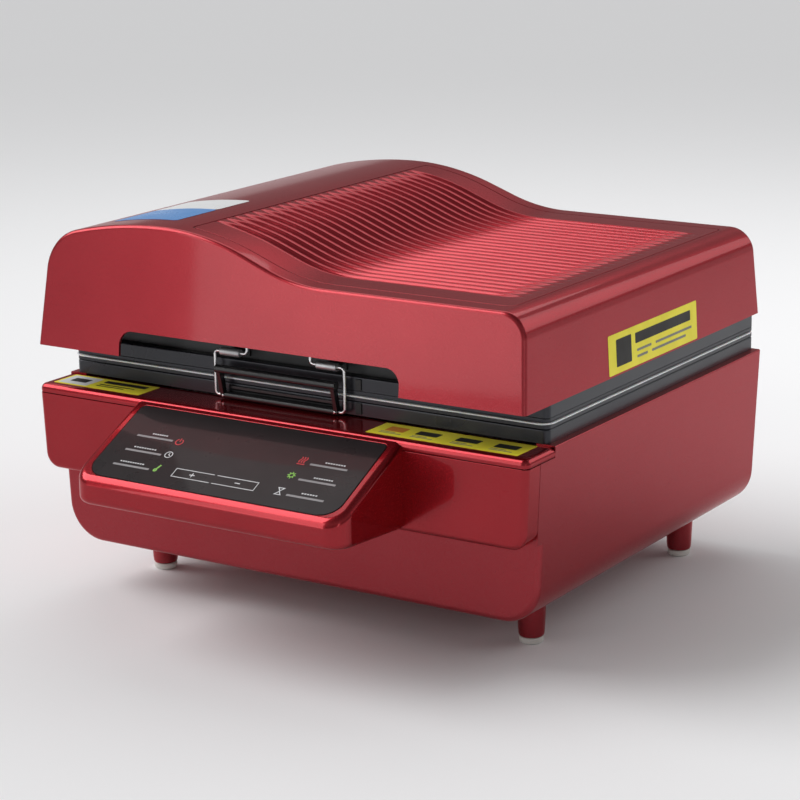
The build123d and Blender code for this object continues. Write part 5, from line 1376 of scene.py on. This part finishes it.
TAB_X, TAB_HALF = 70.3, 3.3
for name, body, z0, z1 in (("lid_frame_tab", "lid", 241.6, 252.6),
                           ("base_frame_tab", "base", 218.6, 229.4)):
    box = slab((TAB_X - TAB_HALF, FRAME_Y - 1.3, z0), (TAB_X + TAB_HALF, FRAME_Y + 0.2, z1))
    tab = make_piece(name, box, SEAL_RUBBER, body, "black_frame")
    round_edges(tab, 0.6, 3)
    settle(tab)


# %% [markdown]
# ## The silicone membrane
# A thin milky silicone sheet is stretched over its frame and clamped round the edge. Pump and
# heat make it cling to the work; at rest it hangs as flat as its own weight allows, so the free
# part in the middle sags by about two millimetres.

# %% Stretched sheet with its small sag
SHEET_LOW, SHEET_HIGH = cad_box("silicone_membrane")
SHEET_CORNER, SHEET_CELL = 12.0, 12.0
OPENING_X, OPENING_Y = 208.0, 148.0
OPENING_MID_Y = LID_MID_Y + 24.5
SAG = 2.0


def sagging(x, y):
    """Height of the sheet's top: level on the frame, a shallow dish over the opening."""
    u, v = x / OPENING_X, (y - OPENING_MID_Y) / OPENING_Y
    free = max(0.0, 1 - u * u) * max(0.0, 1 - v * v)
    return Vector((x, y, SHEET_HIGH[2] - SAG * free))


sheet_box = (SHEET_LOW[0], SHEET_HIGH[0], SHEET_LOW[1], SHEET_HIGH[1])
membrane = make_piece("stretched_membrane", film_cells(sheet_box, SHEET_CORNER, sagging, SHEET_CELL),
                      SILICONE, "membrane", "silicone", ["silicone_membrane"], outward=False)
thicken(membrane, SHEET_HIGH[2] - SHEET_LOW[2])
settle(membrane)


# %% [markdown]
# ## Screws, hole lips and heating coils
# These repeat, so Geometry Nodes place them. For the screws, one head is modelled with its cross
# recess and a point cloud says where each one sits, which way it faces and how large it is. The
# tree puts a head on every point, and one baked mesh goes to each body that carries screws.

# %% One pan head with a cross recess
def pan_head():
    """A head of radius 1 mm facing up, its recess cut by two crossed bars."""
    profile = [(0.92, 0.0), (1.0, 0.06), (1.0, 0.22), (0.94, 0.36), (0.80, 0.48), (0.58, 0.56),
               (0.3, 0.60)]
    head = make_piece("screw_head", turned(profile, upright(0, 0), 24), BRIGHT_STEEL, None, None)
    bar = slab((-0.55, -0.11, 0.28), (0.55, 0.11, 1.0))
    bars = make_piece("recess", bar, BRIGHT_STEEL, None, None)
    for turn_by in (0.0, math.pi / 2):
        bars.data.transform(Matrix.Rotation(turn_by, 4, "Z"))
        cut = head.modifiers.new("recess", "BOOLEAN")
        cut.operation, cut.solver, cut.object = "DIFFERENCE", "EXACT", bars
        bake(head)
    bpy.data.objects.remove(bars)
    bpy.context.scene.collection.objects.unlink(head)
    return head


SCREW_HEAD = pan_head()
print("Screw head faces:", len(SCREW_HEAD.data.polygons))


# %% The screw tree
def points_piece(name, places, body, slot, **attributes):
    """Object of loose points in millimetres, with one value or vector for each point."""
    data = bpy.data.meshes.new(name)
    data.from_pydata([Vector(p) * MM for p in places], [], [])
    for label, values in attributes.items():
        vector = hasattr(values[0], "__len__")
        layer = data.attributes.new(label, "FLOAT_VECTOR" if vector else "FLOAT", "POINT")
        for item, value in zip(layer.data, values):
            setattr(item, "vector" if vector else "value", value)
    PIECE_FACTS[name] = (body, slot, ())
    return in_scene(name, data)


def screws(name, body, slot, listed):
    """Pan head screws from (place, facing, radius); each is turned a little further than the last."""
    piece = points_piece(name, [s[0] for s in listed], body, slot,
                         facing=[s[1] for s in listed], size=[s[2] for s in listed])
    tree = NodeTree(name + " tree", Head=SCREW_HEAD, Twist_Step=0.35, Finish=BRIGHT_STEEL)
    index = tree.node("GeometryNodeInputIndex").outputs[0]
    twist = tree.node("ShaderNodeCombineXYZ", Z=tree.maths("MULTIPLY", index, tree.given("Twist_Step")))
    first = tree.node("FunctionNodeEulerToRotation", Euler=twist.outputs[0])
    aimed = tree.node("FunctionNodeAlignRotationToVector", {"axis": "Z"},
                      Vector=tree.attribute("facing", "FLOAT_VECTOR"))
    turned_head = tree.node("FunctionNodeRotateRotation", {"rotation_space": "LOCAL"},
                            Rotation=aimed.outputs[0], Rotate_By=first.outputs[0])
    model = tree.node("GeometryNodeObjectInfo", Object=tree.given("Head"))
    placed = tree.node("GeometryNodeInstanceOnPoints", Points=tree.given("Geometry"),
                       Instance=model.outputs["Geometry"], Rotation=turned_head.outputs[0],
                       Scale=tree.attribute("size"))
    tree.run(piece, placed.outputs[0])
    return settle(piece, 35)


# %% Screws of the hinges, rear panel, fan, inlet, catch and lever
REAR_Y = BASE_HIGH[1]
LEAF_PLATE_Y = REAR_Y + 2.25
REARWARD, FORWARD = (0, 1, 0), (0, -1, 0)
LEAF_SCREW, LID_SCREW, PANEL_SCREW, FAN_SCREW, INLET_SCREW, LEVER_SCREW = 3.4, 2.6, 2.8, 2.4, 2.0, 1.5
HINGE_X, LEAF_COLUMN = 180.0, 20
FAN_X, FAN_Z, FAN_HALF = 150.0, 118.0, 71.5 / 2
INLET_X, INLET_Z, INLET_HALF = -195, 120, 19.5
LEVER_ARM_X = 65.5
leaf_xs = [side * HINGE_X + column for side in (-1, 1) for column in (-LEAF_COLUMN, 0, LEAF_COLUMN)]
base_screws = [((x, LEAF_PLATE_Y, z), REARWARD, LEAF_SCREW) for x in leaf_xs for z in (198, 218)]
base_screws += [((x, REAR_Y, 205), REARWARD, PANEL_SCREW) for x in (-255, -90, 0, 90, 255)]
base_screws += [((x, REAR_Y, 64), REARWARD, PANEL_SCREW) for x in (-200, -70, 70, 200)]
base_screws += [((FAN_X + dx, REAR_Y, FAN_Z + dz), REARWARD, FAN_SCREW)
                for dx in (-FAN_HALF, FAN_HALF) for dz in (-FAN_HALF, FAN_HALF)]
base_screws += [((INLET_X + dx, REAR_Y + 3.0, INLET_Z), REARWARD, INLET_SCREW)
                for dx in (-INLET_HALF, INLET_HALF)]
screws("base_screws", "base", "zinc_steel", base_screws)
screws("lid_screws", "lid", "zinc_steel",
       [((x, LEAF_PLATE_Y, 249), REARWARD, LID_SCREW) for x in leaf_xs])
screws("lever_screws", "latch_lever", "bright_steel",
       [((LATCH_X + side * LEVER_ARM_X, WIRE_Y - 2.9, PIVOT_Z), FORWARD, LEVER_SCREW)
        for side in (-1, 1)])


# %% Lips round the holes of the work plate
def lip_tree(piece, columns, rows, pitch_x, pitch_y, lip):
    """A grid of points, each carrying one rounded lip."""
    tree = NodeTree("hole lips", Columns=columns, Rows=rows, Width=(columns - 1) * pitch_x * MM,
                    Depth=(rows - 1) * pitch_y * MM, Lip=lip, Finish=SATIN_ALUMINIUM)
    grid = tree.node("GeometryNodeMeshGrid", Size_X=tree.given("Width"), Size_Y=tree.given("Depth"),
                     Vertices_X=tree.given("Columns"), Vertices_Y=tree.given("Rows"))
    model = tree.node("GeometryNodeObjectInfo", Object=tree.given("Lip"))
    placed = tree.node("GeometryNodeInstanceOnPoints", Points=grid.outputs["Mesh"],
                       Instance=model.outputs["Geometry"])
    return tree.run(piece, placed.outputs[0])


PLATEN_LOW, PLATEN_HIGH = cad_box("platen")
HOLE_R = 2.5
HOLE_COLUMNS, HOLE_ROWS, HOLE_PITCH_X, HOLE_PITCH_Y = 6, 4, 70.0, 75.0
lip_profile = [(HOLE_R - 0.1, -0.6), (HOLE_R, 0.15), (HOLE_R + 0.35, 0.42), (HOLE_R + 0.8, 0.35),
               (HOLE_R + 1.3, 0.0)]
lip_loops = [[Vector((x, y, height)) for x, y in ring(radius, 20)] for radius, height in lip_profile]
lip = make_piece("one_lip", loft(lip_loops, closed=True), SATIN_ALUMINIUM, None, None, outward=False)
lips = points_piece("hole_lips", [(0, 0, 0)], "base", "bare_aluminium")
lip_tree(lips, HOLE_COLUMNS, HOLE_ROWS, HOLE_PITCH_X, HOLE_PITCH_Y, lip)
bpy.data.objects.remove(lip)
plate_middle = Vector(((PLATEN_LOW[0] + PLATEN_HIGH[0]) / 2, (PLATEN_LOW[1] + PLATEN_HIGH[1]) / 2,
                       PLATEN_HIGH[2] + 0.02))
lips.data.transform(Matrix.Translation(plate_middle * MM))
settle(lips, 60)


# %% Heating coils inside the quartz tubes
TUBE_LOW, TUBE_HIGH = cad_box("heater_tubes")
TUBE_R = 6.0
TUBE_COUNT = 6
COIL_R, COIL_WIRE_R, COIL_TURN = 3.0, 0.45, 4.5
COIL_MARGIN = 12.0
COIL_METAL = coated_metal("resistance wire", (0.10, 0.075, 0.06), 0.5, 0.5, 0.9)
tube_z = (TUBE_LOW[2] + TUBE_HIGH[2]) / 2
first_y, last_y = TUBE_LOW[1] + TUBE_R, TUBE_HIGH[1] - TUBE_R
tube_ys = [first_y + (last_y - first_y) * i / (TUBE_COUNT - 1) for i in range(TUBE_COUNT)]
coil_length = TUBE_HIGH[0] - TUBE_LOW[0] - 2 * COIL_MARGIN
coils = points_piece("heating_coils", [(-coil_length / 2, y, tube_z) for y in tube_ys],
                     "lid", "bright_steel")
tree = NodeTree("coil in a tube", Turns=coil_length / COIL_TURN, Radius=COIL_R * MM,
                Length=coil_length * MM, Wire_Radius=COIL_WIRE_R * MM, Finish=COIL_METAL)
spiral = tree.node("GeometryNodeCurveSpiral", Resolution=10, Rotations=tree.given("Turns"),
                   Start_Radius=tree.given("Radius"), End_Radius=tree.given("Radius"),
                   Height=tree.given("Length"))
section = tree.node("GeometryNodeCurvePrimitiveCircle", Resolution=5,
                    Radius=tree.given("Wire_Radius"))
coil = tree.node("GeometryNodeCurveToMesh", Curve=spiral.outputs[0],
                 Profile_Curve=section.outputs[0], Fill_Caps=True)
laid = tree.node("GeometryNodeTransform", Geometry=coil.outputs[0], Rotation=(0, math.pi / 2, 0))
placed = tree.node("GeometryNodeInstanceOnPoints", Points=tree.given("Geometry"),
                   Instance=laid.outputs[0])
tree.run(coils, placed.outputs[0])
settle(coils, 60)


# %% [markdown]
# ## Finishes for the CAD pieces that keep their shape
# Frames, brackets, hinges and everything inside the base are already modelled with their real
# shapes, so they only take a finish. The table below is read like a parts list.

# %% Give every remaining CAD node its finish
CAD_FINISHES = {
    "rear_panel": RED_SHEET,
    "display_board": CIRCUIT_BOARD,
    "control_board": CIRCUIT_BOARD,
    "touch_panel": TOUCH_GLASS,
    "lower_frame": BLACK_FRAME,
    "membrane_frame": BLACK_FRAME,
    "membrane_clamp": BLACK_FRAME,
    "lid_frame": BLACK_FRAME,
    "heating_box": BLACK_BOX,
    "base_gasket": SEAL_RUBBER,
    "pump_hose": SILICONE,
    "vacuum_tray": SATIN_ALUMINIUM,
    "platen": SATIN_ALUMINIUM,
    "power_module": SATIN_ALUMINIUM,
    "reflector": POLISHED_REFLECTOR,
    "vacuum_port": BRASS,
    "release_valve": CAST_GREY,
    "vacuum_pump": CAST_GREY,
    "mains_inlet": BLACK_PLASTIC,
    "switch_body": BLACK_PLASTIC,
    "power_rocker": BLACK_PLASTIC,
    "fuse_holder": BLACK_PLASTIC,
    "fan_frame": BLACK_PLASTIC,
    "fan_rotor": BLACK_PLASTIC,
    "heater_tubes": QUARTZ,
    "heater_caps": CERAMIC,
    "heater_rails": ZINC_STEEL,
    "heater_guard": ZINC_STEEL,
    "lid_brackets": BLACK_BOX,
    "hinge_base_leaves": ZINC_STEEL,
    "hinge_membrane_leaves": ZINC_STEEL,
    "hinge_lid_leaves": ZINC_STEEL,
    "insulation": FELT,
    "temperature_probe": BRIGHT_STEEL,
    "hinge_pins": BRIGHT_STEEL,
    # Lever and catch take the black that is darkened as painted shade.
    "latch_lever": BLACK_LEVER_SHADED,
    "catch_bracket": BLACK_LEVER_SHADED,
}
for node, finish in CAD_FINISHES.items():
    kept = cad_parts[node]
    kept.data.materials.clear()
    kept.data.materials.append(finish)
print("CAD pieces finished:", len(CAD_FINISHES))


# %% [markdown]
# ## Floor, light and camera
# The photograph is a studio picture taken with a long lens from a little above and well to the
# right. A pale floor reaches far behind, so the whole background is one tone. A gloss finish shows
# what stands round it, so each lamp has its own task: the wide sun from the left keeps the floor
# even, the large softbox behind on the left draws the line along each rib, the one behind on the
# right draws the rims, the low one in front gives the lid its broad sheen, and a narrow strip
# lights the upright corner. The world is a room whose grey changes with the height.

# %% Pale floor
REACH = 30.0
floor_data = bpy.data.meshes.new("floor")
floor_data.from_pydata([(-REACH, -REACH, 0), (REACH, -REACH, 0), (REACH, REACH, 0), (-REACH, REACH, 0)],
                       [], [(0, 1, 2, 3)])
floor = in_scene("floor", floor_data)
floor_data.materials.append(new_finish("pale floor", (0.88, 0.88, 0.89), 0.0, 0.9,
                                       Specular_IOR_Level=0.0))


# %% World and lamps
ROOM_GREYS = [(0.0, 0.66), (0.045, 0.62), (0.11, 0.20), (0.28, 0.21), (0.50, 0.42), (0.80, 0.20),
              (1.0, 0.10)]
AIM = Vector((0, 0, 0.25))


def studio_world():
    """Grey room: as pale as the floor at the horizon, dark above it, then paler half way up."""
    world = bpy.data.worlds.new("studio")
    bpy.context.scene.world = world
    world.use_nodes = True
    tree = world.node_tree
    light = tree.nodes["Background"]
    light.inputs["Color"].default_value = (1.0, 1.0, 1.0, 1)
    place = tree.nodes.new("ShaderNodeTexCoord")
    height = tree.nodes.new("ShaderNodeSeparateXYZ")
    tree.links.new(place.outputs["Generated"], height.inputs[0])
    ramp = tree.nodes.new("ShaderNodeValToRGB")
    ramp.color_ramp.interpolation = "EASE"
    for where, level in ROOM_GREYS[1:-1]:
        ramp.color_ramp.elements.new(where).color = (level, level, level, 1)
    for end in (0, -1):
        ramp.color_ramp.elements[end].color = (ROOM_GREYS[end][1],) * 3 + (1,)
    tree.links.new(height.outputs["Z"], ramp.inputs[0])
    tree.links.new(ramp.outputs[0], light.inputs["Strength"])


def towards(turn, rise):
    """Direction out of the machine: turned to the right of the front and raised, in degrees."""
    turn, rise = math.radians(turn), math.radians(rise)
    return Vector((math.sin(turn) * math.cos(rise), -math.cos(turn) * math.cos(rise), math.sin(rise)))


def new_lamp(name, kind, turn, rise, power):
    """Lamp that shines on the machine from a direction."""
    data = bpy.data.lights.new(name, kind)
    data.energy = power
    lamp = in_scene(name, data)
    lamp.rotation_euler = (-towards(turn, rise)).to_track_quat("-Z", "Y").to_euler()
    return lamp


def softbox(name, turn, rise, distance, size, power):
    """Rectangular softbox that stands at a distance from the machine."""
    lamp = new_lamp(name, "AREA", turn, rise, power)
    lamp.data.shape = "RECTANGLE"
    lamp.data.size, lamp.data.size_y = size
    lamp.location = AIM + towards(turn, rise) * distance


studio_world()
new_lamp("sun", "SUN", -70, 42, 2.1).data.angle = math.radians(45)
softbox("back", -150, 52, 2.4, (2.6, 1.3), 17)
softbox("side", 137, 26, 2.4, (1.9, 1.3), 11)
softbox("key", -28.5, 14, 2.8, (0.78, 1.85), 11)
softbox("edge", 46, 5, 2.8, (0.2, 1.3), 2.2)


# %% Camera of the photograph
TARGET = Vector((18.5, 5.75, 191.6)) * MM
DISTANCE = 2.4932
AZIMUTH, ELEVATION, ROLL = 33.1, 14.6, math.radians(-0.8)
LENS, SENSOR = 111.87, 36.0
back = towards(AZIMUTH, ELEVATION)
side = towards(AZIMUTH + 90, 0)
up = back.cross(side)
right_axis = side * math.cos(ROLL) + up * math.sin(ROLL)
up_axis = up * math.cos(ROLL) - side * math.sin(ROLL)
camera_data = bpy.data.cameras.new("camera")
camera_data.lens, camera_data.sensor_width = LENS, SENSOR
camera = in_scene("camera", camera_data)
turn = Matrix((right_axis, up_axis, back)).transposed().to_4x4()
camera.matrix_world = Matrix.Translation(TARGET + back * DISTANCE) @ turn
bpy.context.scene.camera = camera
bpy.context.scene.view_settings.view_transform = "Standard"
